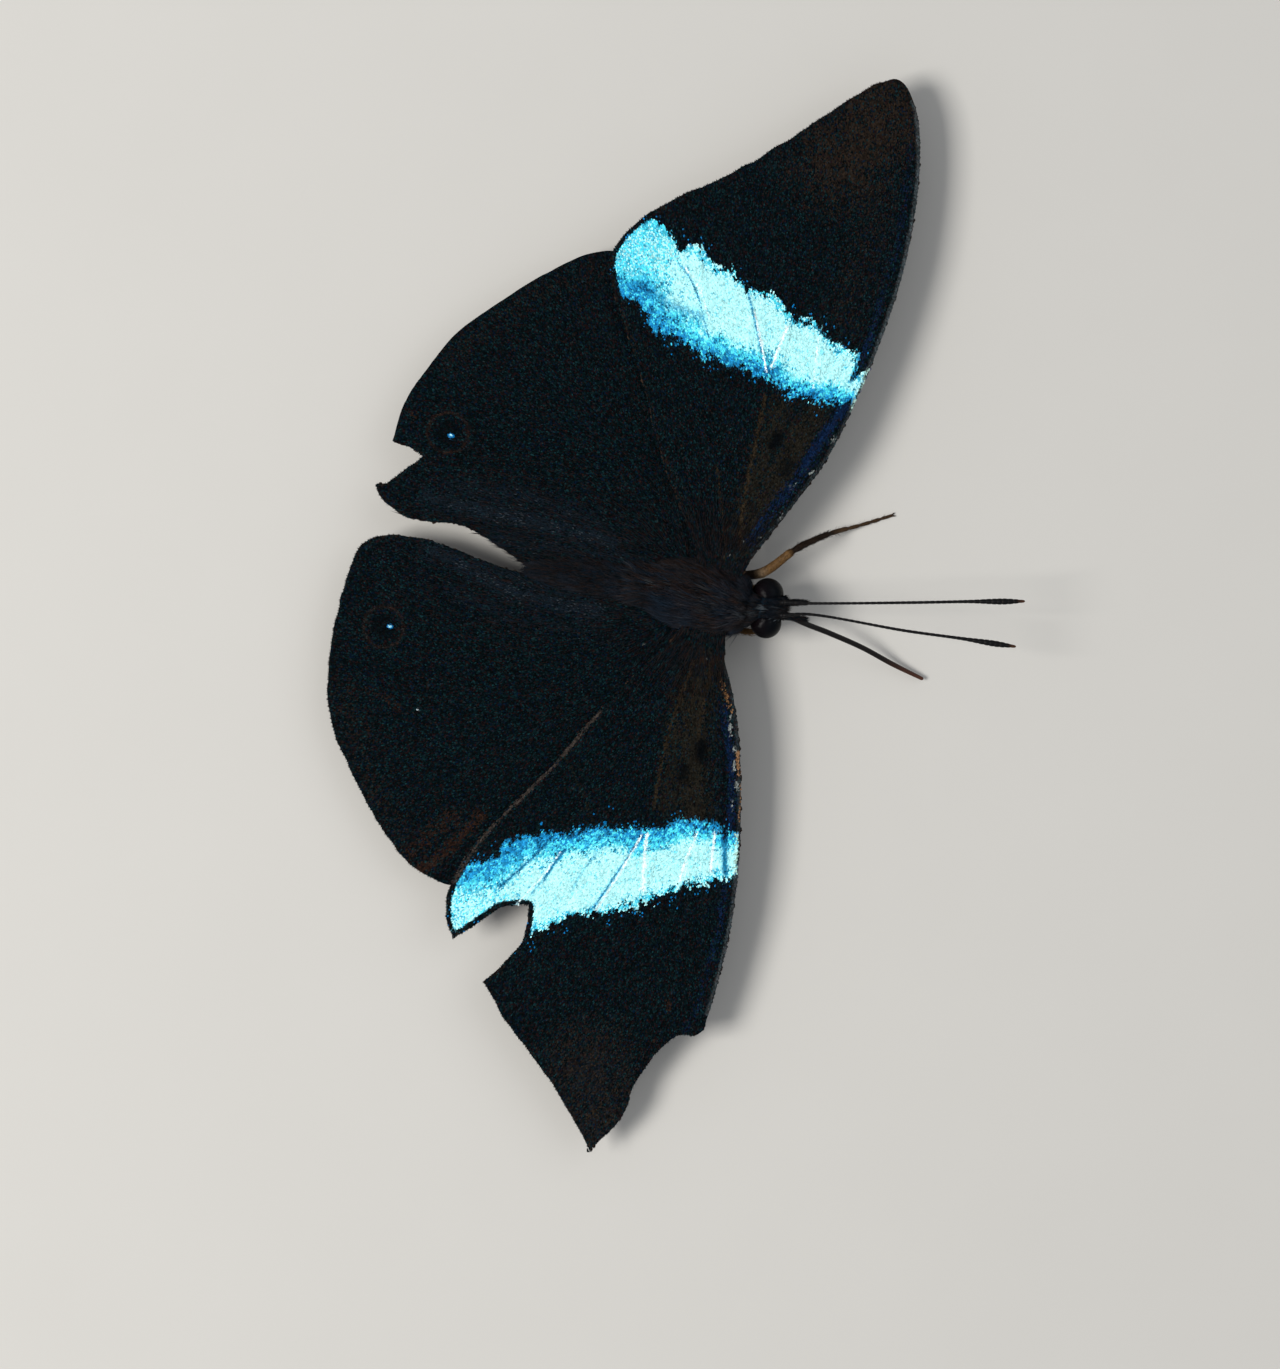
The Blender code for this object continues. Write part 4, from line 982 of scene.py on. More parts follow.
def build_antennae(material):
    """Long feelers: a thick first ring, a thin stem of fine rings and a slim club."""
    for name, direction in (("left", 1), ("right", -1)):
        across, forward, rise = ANTENNA_BASE
        base = head_surface((direction * across, forward, rise), 0.35)
        collar = head_surface((direction * across, forward, rise), -0.25)
        path = smooth_path(((*base, 0.24), (*collar, 0.20)) + ANTENNAE[name], 0.085)
        share = np.linspace(0, 1, len(path))
        scape = 1 + 0.25 * np.exp(-((share - 0.035) / 0.012) ** 2)
        radii = path[:, 3] * ringed(share, ANTENNA_RINGS, 0.16) * scape
        radii[-1] *= 0.4
        add_tube(f"antenna_{name}_rings", path[:, :3], radii, 14, material,
                 (f"antenna_{name}",),
                 marks={"share": share, "ring": (share * ANTENNA_RINGS) % 1})


def proboscis_section(angles):
    """Two tubes side by side: wide across, with a groove above and below."""
    return 0.78 + 0.24 * np.abs(np.sin(angles)) ** 1.4


def build_proboscis(material):
    """A double tube with fine rings, which tapers to its tip on the floor."""
    base = head_surface(PROBOSCIS_BASE, 0.3)
    path = smooth_path(((*base, 0.27),) + PROBOSCIS, 0.05)
    share = np.linspace(0, 1, len(path))
    radii = path[:, 3] * ringed(share, PROBOSCIS_RINGS, 0.05)
    radii[-3:] *= np.array([0.9, 0.7, 0.4])
    add_tube("proboscis_tube", path[:, :3], radii, 20, material,
             ("proboscis",), proboscis_section, {"share": share})


def build_palps(skin, fur):
    """Two upturned palps with close scales, longer ones below and a pointed last ring.
    A pale patch lies near the base of the right one."""
    for name, direction, seed in PALP_SIDES:
        base = np.array(head_place(direction * PALP_BASE[0], *PALP_BASE[1:]))
        tip = np.array(head_place(direction * PALP_TIP[0], *PALP_TIP[1:]))
        bend = (base + tip) / 2 + np.array([0, 0, -0.12])
        path = smooth_path(((*base, 0.2), (*bend, 0.23), (*(0.2 * bend + 0.8 * tip), 0.15),
                            (*tip, 0.05)), 0.06)
        share = np.linspace(0, 1, len(path))
        add_tube(f"palp_{name}_core", path[:, :3], path[:, 3], 14, skin,
                 (f"palp_{name}",),
                 marks={"rust": 0 * share, "azure": 0 * share, "along": 0 * share,
                        "pale": 0.35 * np.exp(-((share - 0.2) / 0.15) ** 2)})
        draw = np.random.default_rng(seed)
        count = PALP_SCALES
        place = draw.uniform(0.12, 0.97, count)
        angle = draw.uniform(0, 2 * math.pi, count)
        row = (place * (len(path) - 1)).astype(int)
        along, upward, sideways = path_frame(path[:, :3])
        normals = (upward[row] * np.cos(angle)[:, None] + sideways[row] * np.sin(angle)[:, None])
        roots = path[row, :3] + normals * path[row, 3:4] * 0.95
        below = np.cos(angle) < -0.3
        dice = draw.random(count)
        tufts = tuft_rows(roots, normals, along[row],
                          PALP_SCALE_LENGTH * draw.uniform(0.7, 1.3, count)
                          * np.where(below, 1.3, 1.0),
                          PALP_SCALE_WIDTH * draw.uniform(0.8, 1.2, count),
                          np.radians(draw.normal(20, 6, count)),
                          np.radians(draw.normal(14, 5, count)), draw.normal(0, 0.15, count))
        pale = 0.9 * np.exp(-((place - 0.2) / 0.16) ** 2) * (dice > 0.3) * (direction < 0)
        marks = {"rust": 0.4 * (dice > 0.8), "azure": 0 * dice, "pale": pale, "dice": dice}
        add_tufts(f"palp_{name}_scales", tufts, np.column_stack([place, angle / 6.5]), fur,
                  marks)


# Legs

# Joints: share of the leg's length, depth and half width of the dip
LEG_JOINTS = ((0.13, 0.22, 0.016), (0.43, 0.30, 0.014), (0.665, 0.25, 0.012),
              (0.775, 0.28, 0.008), (0.835, 0.28, 0.008), (0.89, 0.28, 0.008),
              (0.94, 0.28, 0.008))
LEG_SCALES = 900
FORELEG_SCALES = 420
LEG_SPINES = 74
LEG_SEED = 160
FLOOR_CLEARANCE = 0.004


def leg_path(direction, ahead, slope, path):
    """The leg's rows from inside the thorax, at its own angle below the side."""
    angle = math.radians(slope)
    taper = float(thorax_taper(ahead))
    outward = np.array([direction * math.cos(angle), 0, -math.sin(angle)])
    surface = np.array([THORAX_SIDE + direction * THORAX_HALF[0] * taper * math.cos(angle),
                        ahead, THORAX_UP - THORAX_HALF[2] * taper * math.sin(angle)])
    rows = ((*(surface - outward * 0.5), 0.42), (*(surface + outward * 0.45), 0.38)) + path
    return smooth_path(rows, 0.07)


def leg_joints(share):
    """A radius factor that narrows at the hip, the knee, the heel and between the five
    rings of the foot, and swells just before each."""
    factor = np.ones(len(share))
    for joint, depth, reach in LEG_JOINTS:
        factor -= depth * np.exp(-((share - joint) / reach) ** 2)
        factor += 0.10 * np.exp(-((share - joint + 2.2 * reach) / (1.3 * reach)) ** 2)
    return factor


def build_legs(material, spine_material):
    """Scaled legs with spines along shin and foot, and two claws at the end of each leg that is not
    a small folded foreleg.
    """
    for index, (name, (direction, ahead, slope, folded, rest)) in enumerate(LEGS.items()):
        path = leg_path(direction, ahead, slope, rest)
        share = np.linspace(0, 1, len(path))
        radii = path[:, 3] * (leg_joints(share) if not folded else ringed(share, 4, 0.25))
        radii *= 1 + 0.12 * soft_step(0.18, 0.25, share)
        centres = path[:, :3].copy()
        if not folded:
            centres[:, 2] = np.maximum(centres[:, 2], radii + 0.005)
        radii[-1] *= 0.5
        add_tube(name + "_shell", centres, radii, 16, material, (name,),
                 marks={"share": np.where(folded, 0.3 + 0.1 * share, share)})
        dress_leg(name, centres, radii, folded, LEG_SEED + index, spine_material)
        if not folded:
            add_claws(name, centres[-1], path_frame(centres)[0][-1], radii[-4], material)


def dress_leg(name, centres, radii, folded, seed, material):
    """Short scales down to the heel and two rows of longer, steeper spines below the
    shin and the foot. A small foreleg is furry and has no spines."""
    draw = np.random.default_rng(seed)
    along, upward, sideways = path_frame(centres)
    count = FORELEG_SCALES if folded else LEG_SCALES
    place = draw.uniform(0.10, 0.95 if folded else 0.66, count)
    spines = draw.uniform(0.42, 0.97, 0 if folded else LEG_SPINES)
    place = np.concatenate([place, spines])
    total = len(place)
    row = (place * (len(centres) - 1)).astype(int)
    angle = draw.uniform(0, 2 * math.pi, total)
    is_spine = np.arange(total) >= count
    below = math.pi + draw.choice([-1, 1], total) * draw.uniform(0.6, 1.4, total)
    angle = np.where(is_spine, below, angle)
    normals = upward[row] * np.cos(angle)[:, None] + sideways[row] * np.sin(angle)[:, None]
    roots = centres[row] + normals * (radii[row] * 0.93)[:, None]
    thin = soft_step(0.66, 0.8, place)
    shin = soft_step(0.42, 0.46, place)
    long = np.where(is_spine, 0.46 - 0.2 * thin, (0.5 if folded else 0.26) + 0.08 * shin)
    tufts = tuft_rows(roots, normals, along[row], long * draw.uniform(0.7, 1.25, total),
                      np.where(is_spine, 0.026, 0.022) * draw.uniform(0.8, 1.2, total),
                      np.radians(np.where(is_spine, 42, 13 + 9 * shin)
                                 + draw.normal(0, 5, total)),
                      np.radians(np.where(is_spine, 6, 10) + draw.normal(0, 3, total)),
                      draw.normal(0, 0.12, total))
    tufts[:, :, 2] = np.maximum(tufts[:, :, 2], FLOOR_CLEARANCE)
    marks = {"share": np.where(folded, 0.35, place), "dice": draw.random(total),
             "spine": is_spine.astype(float)}
    add_tufts(name + "_scales", tufts, np.column_stack([place, angle / 6.5 % 1]), material,
              marks)


def add_claws(name, end, along, radius, material):
    """Two curved claws that spread from the foot's last ring and dip to the floor."""
    rows, faces = [], []
    flat = unit((along * np.array([1, 1, 0]))[None])[0]
    across = np.array([-flat[1], flat[0], 0])
    for direction in (1, -1):
        start = end + across * direction * 0.05
        middle = end + flat * 0.17 + across * direction * 0.13 + np.array([0, 0, 0.03])
        tip = end + flat * 0.27 + across * direction * 0.12
        tip[2] = 0.012
        path = smooth_path(((*start, radius * 0.5), (*middle, radius * 0.34),
                            (*tip, 0.008)), 0.03)
        path[:, 2] = np.maximum(path[:, 2], path[:, 3])
        claw = tube_rows(path[:, :3], path[:, 3], 8)
        faces.append(ring_triangles(len(path), 8) + sum(len(part) for part in rows))
        rows.append(claw)
    rows = np.vstack(rows)
    add_piece(name + "_claws", rows, np.vstack(faces), material,
              marks={"share": np.full(len(rows), 1.0)}, closed=True)


# Wings

def wing_side(name):
    """left or right."""
    return name.split("_")[1]


def wing_kind(name):
    """forewing or hindwing."""
    return name.split("_")[0]


def on_own_side(points, name):
    """What is drawn on a left wing, for the wing that is named: the flat map that takes
    the left wing's three landmarks to the right wing's."""
    if wing_side(name) == "left":
        return points
    old, new = (np.array(LANDMARKS[f"{wing_kind(name)}_{side}"]) for side in ("left", "right"))
    weights = np.linalg.solve((old[1:] - old[0]).T, (np.array(points) - old[0]).T).T
    return new[0] + weights @ (new[1:] - new[0])


def wing_level(points, name):
    """Height of a wing's middle: lower towards the tip and towards the rear, forewings
    above and hindwings below by half their spacing."""
    out = np.abs(points[:, 0] - THORAX_SIDE) / WING_REACH
    back = np.clip(-points[:, 1], 0, None) / HIND_REACH
    rise = WING_SPACING / 2 * (1 if wing_kind(name) == "forewing" else -1)
    return WING_ROOT_UP - DROOP[wing_side(name)] * out ** 1.5 - DROOP_REAR * back ** 1.3 + rise


def wing_root(name):
    """Points of the wing's edge inside the body, rear to front."""
    direction = 1 if wing_side(name) == "left" else -1
    if wing_kind(name) == "forewing":
        ahead = np.linspace(FOREWING_ROOT[1], FOREWING_ROOT[0], 6)
        flank = thorax_flank(ahead, WING_ROOT_UP + 0.3) + GAP - ROOT_SINK
        return np.column_stack([THORAX_SIDE + direction * flank, ahead])
    rear = np.linspace(HINDWING_INNER_EDGE[1], HINDWING_INNER_EDGE[0], 12)
    along = (rear - ABDOMEN_FRONT[1]) / (ABDOMEN_REAR[1] - ABDOMEN_FRONT[1])
    middle = ABDOMEN_FRONT[0] + along * (ABDOMEN_REAR[0] - ABDOMEN_FRONT[0])
    inner = middle + direction * (abdomen_half_width(along) + GAP - 0.8)
    ahead = np.linspace(HINDWING_ROOT[1], HINDWING_ROOT[0], 6)
    flank = THORAX_SIDE + direction * (thorax_flank(ahead, THORAX_UP) + GAP - ROOT_SINK)
    return np.vstack([np.column_stack([inner, rear]), np.column_stack([flank, ahead])])


def front_edge(name):
    """The leading edge of a wing, from its root to its tip."""
    front = smooth_path(EDGES[name][0], 0.5)
    if len(EDGES[name]) == 1:
        front = front[:int(np.argmax(np.abs(front[:, 0])))]
    return front


def wing_outline(name):
    """The free edge, moved in by the fringe's depth and a little ragged, the direction
    out of the wing along it, and the whole outline with the root. The leading edge
    hardly moves."""
    runs = [smooth_path(stretch, EDGE_STEP)[:-1] for stretch in EDGES[name]]
    free = np.vstack(runs + [np.array(EDGES[name][-1][-1:], float)])
    tangent = unit(np.gradient(free, axis=0))
    turn = np.sign((free[:, 0] * np.roll(free[:, 1], -1)
                    - free[:, 1] * np.roll(free[:, 0], -1)).sum())
    inward = np.column_stack([-tangent[:, 1], tangent[:, 0]]) * turn
    nicks = (0.5 * noise(free, 0.4, SEEDS["fringe_nicks"]) ** 3
             + noise(free, 1.1, SEEDS["fringe_fray"]))
    margin = soft_step(0.3, 1.6, nearest_on(free, front_edge(name))[0])
    depth = EDGE_INSET * margin
    fray = EDGE_FRAY * (0.35 + 0.65 * margin)
    ragged = free + inward * (depth + fray * nicks)[:, None]
    return ragged, -inward, np.vstack([ragged, wing_root(name)])


def wing_veins(name, outline):
    """The wing's veins in plan, each cut off just inside the edge."""
    veins = []
    for points in VEINS[wing_kind(name)]:
        line = smooth_path(on_own_side(points, name), VEIN_STEP)
        edge_distance = nearest_on(line, ring_line(outline))[0]
        keep = inside(line, outline) & (edge_distance > VEIN_CLEARANCE)
        last = len(line) if keep.all() else int(np.argmin(keep))
        if last > 3:
            veins.append(line[:last])
    return veins


def vein_fields(points, veins):
    """Height of the vein ridges at each point, distance to the nearest vein, and the
    direction of growth: the veins' directions weighted by closeness."""
    ridge = np.zeros(len(points))
    nearest = np.full(len(points), np.inf)
    growth = np.zeros((len(points), 2))
    for line in veins:
        distance, along, heading = nearest_on(points, line)
        crest = VEIN_HEIGHT * (1 - VEIN_TAPER * along)
        profile = np.clip(1 - (distance / (1.6 * VEIN_HALF_WIDTH)) ** 2, 0, 1)
        ridge = np.maximum(ridge, crest * profile)
        nearest = np.minimum(nearest, distance)
        growth += heading / (distance ** 2 + 0.5)[:, None]
    return ridge, nearest, unit(growth)


def wing_relief(points, nearest):
    """The membrane sags between its veins by a bell of the distance to them, and the
    whole wing waves a little."""
    sag = SAG_DEPTH * (1 - np.exp(-(nearest / SAG_WIDTH) ** 2))
    wave = WAVE_HEIGHT * (noise(points, WAVE_LENGTH, SEEDS["wave"]) - 0.5)
    return wave - sag


def staggered_grid(outline, step):
    """Points in rows over the box round an outline, each row half a step aside."""
    low, high = outline.min(0), outline.max(0)
    grid = np.stack(np.meshgrid(np.arange(low[0], high[0], step),
                                np.arange(low[1], high[1], step * ROW_SHARE)), axis=2)
    grid[1::2, :, 0] += step / 2
    return grid.reshape(-1, 2)


def membrane(outline, veins):
    """Triangles over the outline that follow both sides and the crest of every vein,
    with a fine grid between them."""
    points = [outline]
    count = len(outline)
    index = np.arange(count)
    edges = [np.column_stack([index, np.roll(index, -1)])]
    for vein in veins:
        direction = unit(np.gradient(vein, axis=0))
        normal = np.column_stack([-direction[:, 1], direction[:, 0]]) * VEIN_HALF_WIDTH
        for line in (vein, vein + normal, vein - normal):
            index = count + np.arange(len(line) - 1)
            edges.append(np.column_stack([index, index + 1]))
            points.append(line)
            count += len(line)
    grid = staggered_grid(outline, MEMBRANE_GRID)
    free = inside(grid, outline)
    for line in [ring_line(outline)] + veins:
        free &= nearest_on(grid, line)[0] > GRID_CLEARANCE
    points.append(grid[free])
    flat, _, triangles, *_ = delaunay_2d_cdt(np.vstack(points).tolist(),
                                             np.vstack(edges).tolist(), [], 1, 1e-5)
    return np.array(flat), np.array(triangles)


def lanes(points, growth, stretch):
    """Places in narrow lanes along the rows of scales: shortened along the growth, so
    that noise over them makes long streaks."""
    across = np.column_stack([-growth[:, 1], growth[:, 0]])
    return np.column_stack([(points * growth).sum(1) * stretch, (points * across).sum(1)])


def settle(mask, dice):
    """Whether a scale takes a colour: more often where the mask is strong."""
    return np.clip((mask - dice) / 0.25 + 0.4 * mask, 0, 1)


def band_masks(points, name, edge_distance, front_distance, growth, dice, masks):
    """The blue band. Its depth, the distance inside its outline, is ragged along the
    rows of scales, and single scales lie past it. A narrow border at the wing's edges
    stays dark. Towards both sides and the rear end scales thin out: some stay dark, some
    are deep blue and the rest bright. Nearly white scales fill the middle, fewer at the
    rear end, and white lines follow the veins."""
    outline = np.array(BANDS[name], float)
    split = BAND_SPLIT[name]
    pale_rear = REAR_PALENESS[name]
    depth = nearest_on(points, ring_line(outline))[0]
    depth = np.where(inside(points, outline), depth, -depth)
    distal = nearest_on(points, outline[:split])[0]
    proximal = nearest_on(points, outline[split + 1:])[0]
    spikes = noise(lanes(points, growth, 0.22), 0.13, SEEDS["spikes"]) - 0.5
    lobes = (noise(points, 1.5, SEEDS["lobes"])
             + 0.7 * noise(points, 0.6, SEEDS["small_lobes"]) - 0.85)
    depth += 0.75 * lobes + 0.9 * spikes
    other = redraw(dice, 37.7)
    lot = 0.15 + 0.7 * other
    blue = soft_step(-0.12, 0.12, soft_step(-0.38, 0.30, depth) - lot)
    wide = soft_step(0.3, 1.6, front_distance)
    border = BAND_BORDER_FRONT + (BAND_BORDER - BAND_BORDER_FRONT) * wide
    blue *= soft_step(0.0, 0.08, edge_distance - border)
    stray = (depth > -1.1) & (dice > 0.95) & (noise(points, 0.6, SEEDS["strays"]) > 0.5)
    streaks = masks["deep"]
    front = soft_step(-11.5, -6.0, points[:, 1])
    drift = 0.8 * (noise(points, 1.2, SEEDS["drift"]) - 0.5)
    reach = 2.8 + 0.8 * (1 - front) - 0.9 * soft_step(1.0, 6.0, points[:, 1])
    inner = soft_step(0.0, 1.0, (proximal + drift + 0.9 * spikes) / reach)
    outer = soft_step(-0.15, 0.35, distal + 0.5 * (dice - 0.5))
    draw = np.clip(1.9 * (0.5 * other + 0.5 * noise(points, 0.26, SEEDS["clusters"])) - 0.45, 0, 1)
    thin = np.maximum(1 - inner, 0.6 * soft_step(0.75, 0.0, distal + 0.6 * spikes))
    gap = 0.33 * thin ** 1.5 + 0.03 * (1 - front) - 0.03
    darker = gap + 0.46 * thin + 0.08 * (1 - front) + 0.02
    lit = soft_step(-0.05, 0.07, draw - darker)
    blue *= 1 - (0.25 + 0.6 * redraw(dice, 71.9)) * soft_step(0.06, -0.04, draw - gap)
    glow = inner * (0.35 + 0.65 * outer)
    unlit = (0.14 + 0.66 * inner) * (0.6 + 0.4 * dice)
    bright = lit * (0.84 + 0.16 * front) + (1 - lit) * unlit
    share = pale_rear + (1.2 - pale_rear) * front
    white = lit * soft_step(0.38, 0.95, glow + 0.34 * (dice - 0.5))
    white *= soft_step(-0.25, 0.15, share - redraw(dice, 13.1))
    carved = np.clip(1 - 1.3 * streaks, 0, 1)
    masks["spark"] = soft_step(0.2, 0.5, masks["spark"] * (0.7 + 0.5 * dice)) * (depth > 0)
    blue = np.maximum(blue, masks["spark"])
    masks["deep"] = np.maximum(blue * (1 - 0.5 * np.clip(streaks, 0, 1)), 0.6 * stray)
    masks["bright"] = blue * bright * (0.15 + 0.85 * carved)
    masks["white"] = blue * white * carved
    for covered in COVERED:
        masks[covered] = masks[covered] * (1 - blue)


def eyespot_masks(points, name, dice, masks):
    """Rings of rust round a black centre with a bluish pupil that is white inside."""
    for wing, centre, ring, black, pupil, pupil_place, strength in EYESPOTS:
        if wing != name:
            continue
        away = np.linalg.norm(points - np.array(centre), axis=1)
        wobble = 0.12 * (noise(points, 0.7, SEEDS["wobble"]) - 0.5)
        rim = np.exp(-((away - ring + wobble) / EYESPOT_RING_HALF) ** 2)
        masks["rust"] = np.maximum(masks["rust"], strength * rim * (0.45 + 0.75 * dice))
        centre_black = soft_step(black + 0.18, black - 0.05, away + wobble)
        masks["black"] = np.maximum(masks["black"], strength * centre_black)
        masks["rust"] *= 1 - centre_black
        light = np.linalg.norm((points - np.array(pupil_place)) / np.array([0.85, 1.3]), axis=1)
        spot = soft_step(pupil + 0.05, pupil - 0.08, light)
        masks["deep"] = np.maximum(masks["deep"], spot)
        masks["white"] = np.maximum(masks["white"],
                                    soft_step(pupil - 0.04, pupil - 0.16, light))


def upper_masks(points, name, edges, growth, dice):
    """How much of each colour lies at each point of the upper face: its streaks, single
    bluish and rusty scales, a pale front edge with the band or else the eyespot, and
    brown where the edges are worn. Edges are the free edge, the outline and the front."""
    free, _, front = edges
    masks = {mask: np.zeros(len(points)) for mask in MASKS}
    edge_distance = nearest_on(points, free)[0]
    front_distance, front_share, _ = nearest_on(points, front)
    grain = (0.45 * noise(points, 0.35, SEEDS["grain"])
             + 0.55 * noise(lanes(points, growth, 0.15), 0.15, SEEDS["grain_lanes"]))
    for mask, half, strength, line in STREAKS[name]:
        laid = strength * bell_beside(points, line, half) * (0.6 + 0.8 * grain)
        masks[mask] = np.maximum(masks[mask], laid)
    for mask in SETTLED:
        masks[mask] = settle(masks[mask], dice)
    lot = redraw(dice, 91.3)
    masks["hair"] = np.maximum(masks["hair"], 1.0 * (lot > 0.965))
    masks["rust"] = np.maximum(masks["rust"], 0.30 * (lot < 0.05))
    if name in BANDS:
        worn = noise(points, 1.4, SEEDS["worn_front"])
        line = soft_step(0.42, 0.24, front_distance) * (0.5 + 0.5 * worn)
        beyond = 0.35 + 0.65 * soft_step(17.0, 24.0, np.abs(points[:, 0]))
        masks["pale"] = np.maximum(masks["pale"], 0.13 * line * beyond * (front_share < 0.95))
        band_masks(points, name, edge_distance, front_distance, growth, dice, masks)
    else:
        eyespot_masks(points, name, dice, masks)
    brown = 0.5 * noise(points, 2.6, SEEDS["brown"]) + 0.5 * noise(points, 0.5, SEEDS["fine_brown"])
    rubbed = np.exp(-(edge_distance / 0.35) ** 2) * 0.35
    masks["apex"] = np.maximum(masks["apex"], settle(0.17 * brown + rubbed * brown, dice))
    return masks


def lower_masks(points, name, edges, growth, dice):
    """How much of each colour lies at each point of the underside, after the species:
    chocolate with dark cross lines, a lilac band, pale dusted margins and eyespots. It
    is given the same as upper_masks, of which edges and growth aren't needed here."""
    masks = {mask: np.zeros(len(points)) for mask in MASKS}
    masks["under"] = np.ones(len(points))
    ripple = 0.8 * (noise(points, 2.2, SEEDS["ripple"]) - 0.5)
    grain = 0.6 + 0.8 * noise(points, 0.4, SEEDS["under_grain"])
    for mask, half, strength, line in UNDER_STREAKS[wing_kind(name)]:
        near = bell_beside(points + ripple[:, None], on_own_side(line, name), half, 0.5)
        masks[mask] = np.maximum(masks[mask], settle(strength * near * grain, dice))
    for centre, ring in UNDER_EYESPOTS[wing_kind(name)]:
        centre = np.array(on_own_side([centre], name)[0])
        away = np.linalg.norm(points - centre, axis=1)
        masks["costal_ochre"] = np.maximum(masks["costal_ochre"],
                                           np.exp(-((away - 0.75 * ring) / 0.2) ** 2))
        masks["dark_line"] = np.maximum(masks["dark_line"], soft_step(ring, ring - 0.4, away))
        masks["lilac"] = np.maximum(masks["lilac"], soft_step(0.3, 0.15, away))
    return masks


def wing_bake_place(points, name):
    """Root places on an unwrap of the wing: its plan, fitted into the unit square."""
    corners = np.vstack(EDGES[name]).astype(float)
    low, high = corners.min(0), corners.max(0)
    return 0.02 + 0.96 * np.clip((points - low) / (high - low), 0, 1)


SCALE_FACES = np.array([(0, 1, 2), (0, 2, 3), (3, 2, 4)])
SCALE_SHAPE = np.array([(-0.32, 0.0), (0.32, 0.0), (0.5, 0.68), (-0.5, 0.68), (0.0, 1.0)])
SCALE_ALONG = SCALE_SHAPE[:, 1]


def add_scales(name, wing, face, points, growth, length, width, lift, veins, masks, dice,
               seed, material):
    """Flat five-cornered scales, each a little tilted, that rise from root to tip and
    overlap along the direction of growth."""
    draw = np.random.default_rng(seed)
    angle = draw.normal(0, 0.16, len(points))
    forward = np.column_stack([growth[:, 0] * np.cos(angle) - growth[:, 1] * np.sin(angle),
                               growth[:, 0] * np.sin(angle) + growth[:, 1] * np.cos(angle)])
    across = np.column_stack([-forward[:, 1], forward[:, 0]])
    plan = (points[:, None] + SCALE_SHAPE[None, :, 0:1] * (width[:, None, None] * across[:, None])
            + SCALE_SHAPE[None, :, 1:2] * (length[:, None, None] * forward[:, None]))
    base_plan = plan.reshape(-1, 2)
    middle = points + forward * (0.5 * length)[:, None]
    ridge, nearest, _ = vein_fields(middle, veins)
    level = wing_level(middle, wing) + wing_relief(middle, nearest)
    surface = level + face * (MEMBRANE_HALF + (ridge if face > 0 else ridge / 2))
    roll = draw.normal(0, 0.12, len(points))
    height = (surface[:, None]
              + face * (SCALE_CLEARANCE + lift[:, None] * SCALE_SHAPE[None, :, 1]
                        + roll[:, None] * SCALE_SHAPE[None, :, 0] * width[:, None]))
    slope = (wing_level(base_plan, wing).reshape(plan.shape[:2])
             - wing_level(middle, wing)[:, None])
    rows = np.dstack([plan, height + slope])
    marks = {mask: values for mask, values in masks.items() if values.max() > 0.01}
    marks["dice"] = dice
    faces = SCALE_FACES if face > 0 else SCALE_FACES[:, ::-1]
    bake = wing_bake_place(points, wing)
    return add_tufts(name, rows, bake, material, marks,
                     patches=SCALE_SHAPE + np.array([0.5, 0]), faces=faces,
                     along=SCALE_ALONG, smooth=False)


def build_wing(name, membrane_material, scale_material, cover=None):
    """Membrane with veins, scales on both faces and a fringe. Cover is the outline of
    the wing that hides part of this one from above."""
    free, outward, outline = wing_outline(name)
    edges = (free, outline, front_edge(name))
    veins = wing_veins(name, outline)
    flat, triangles = membrane(outline, veins)
    ridge, nearest, growth = vein_fields(flat, veins)
    level = wing_level(flat, name) + wing_relief(flat, nearest)
    above = np.column_stack([flat, level + MEMBRANE_HALF + ridge])
    below = np.column_stack([flat, level - MEMBRANE_HALF - ridge / 2])
    count = len(flat)
    pairs = np.vstack([triangles[:, [0, 1]], triangles[:, [1, 2]], triangles[:, [2, 0]]])
    rim = pairs[~np.isin(pairs @ [count, 1], pairs @ [1, count])]
    walls = np.vstack([np.column_stack([rim[:, 0], rim[:, 1], rim[:, 1] + count]),
                       np.column_stack([rim[:, 0], rim[:, 1] + count, rim[:, 0] + count])])
    faces = np.vstack([triangles, triangles[:, ::-1] + count, walls])
    half_dice = 0.35 + 0.3 * noise(flat, 0.3, SEEDS["membrane_dice"])
    top_masks = upper_masks(flat, name, edges, growth, half_dice)
    low_masks = lower_masks(flat, name, edges, growth, half_dice)
    marks = {mask: np.concatenate([top_masks[mask], low_masks[mask]]) for mask in MASKS}
    marks["dice"] = np.tile(half_dice, 2)
    marks["along"] = np.full(2 * count, 0.4)
    add_piece(name + "_membrane", np.vstack([above, below]), faces, membrane_material,
              (name,), marks=marks, closed=True)
    for face, painter in ((1, upper_masks), (-1, lower_masks)):
        build_wing_scales(name, face, painter, edges, outward, veins, scale_material, cover)


def fringe_scales(free, outward, front, veins, draw):
    """Places, directions, lengths, widths and lifts of the narrow scales that stand out
    from the free edge, shorter along the leading edge."""
    gaps = np.linalg.norm(np.diff(free, axis=0), axis=1)
    repeats = np.maximum(1, np.round(gaps / FRINGE_STEP)).astype(int)
    index = np.repeat(np.arange(0, len(free) - 1), repeats)
    share = draw.random(len(index))[:, None]
    points = free[index] * (1 - share) + free[index + 1] * share
    points = points - outward[index] * FRINGE_OVERLAP
    growth = unit(outward[index] + 0.5 * vein_fields(points, veins)[2]
                  + draw.normal(0, 0.12, points.shape))
    bare = soft_step(1.2, 0.3, nearest_on(points, front)[0])
    length = FRINGE_LENGTH * (1 - 0.38 * bare) * draw.uniform(0.7, 1.0, len(index))
    width = FRINGE_WIDTH * draw.uniform(0.7, 1.2, len(index))
    return points, growth, length, width, np.full(len(index), FRINGE_LIFT)


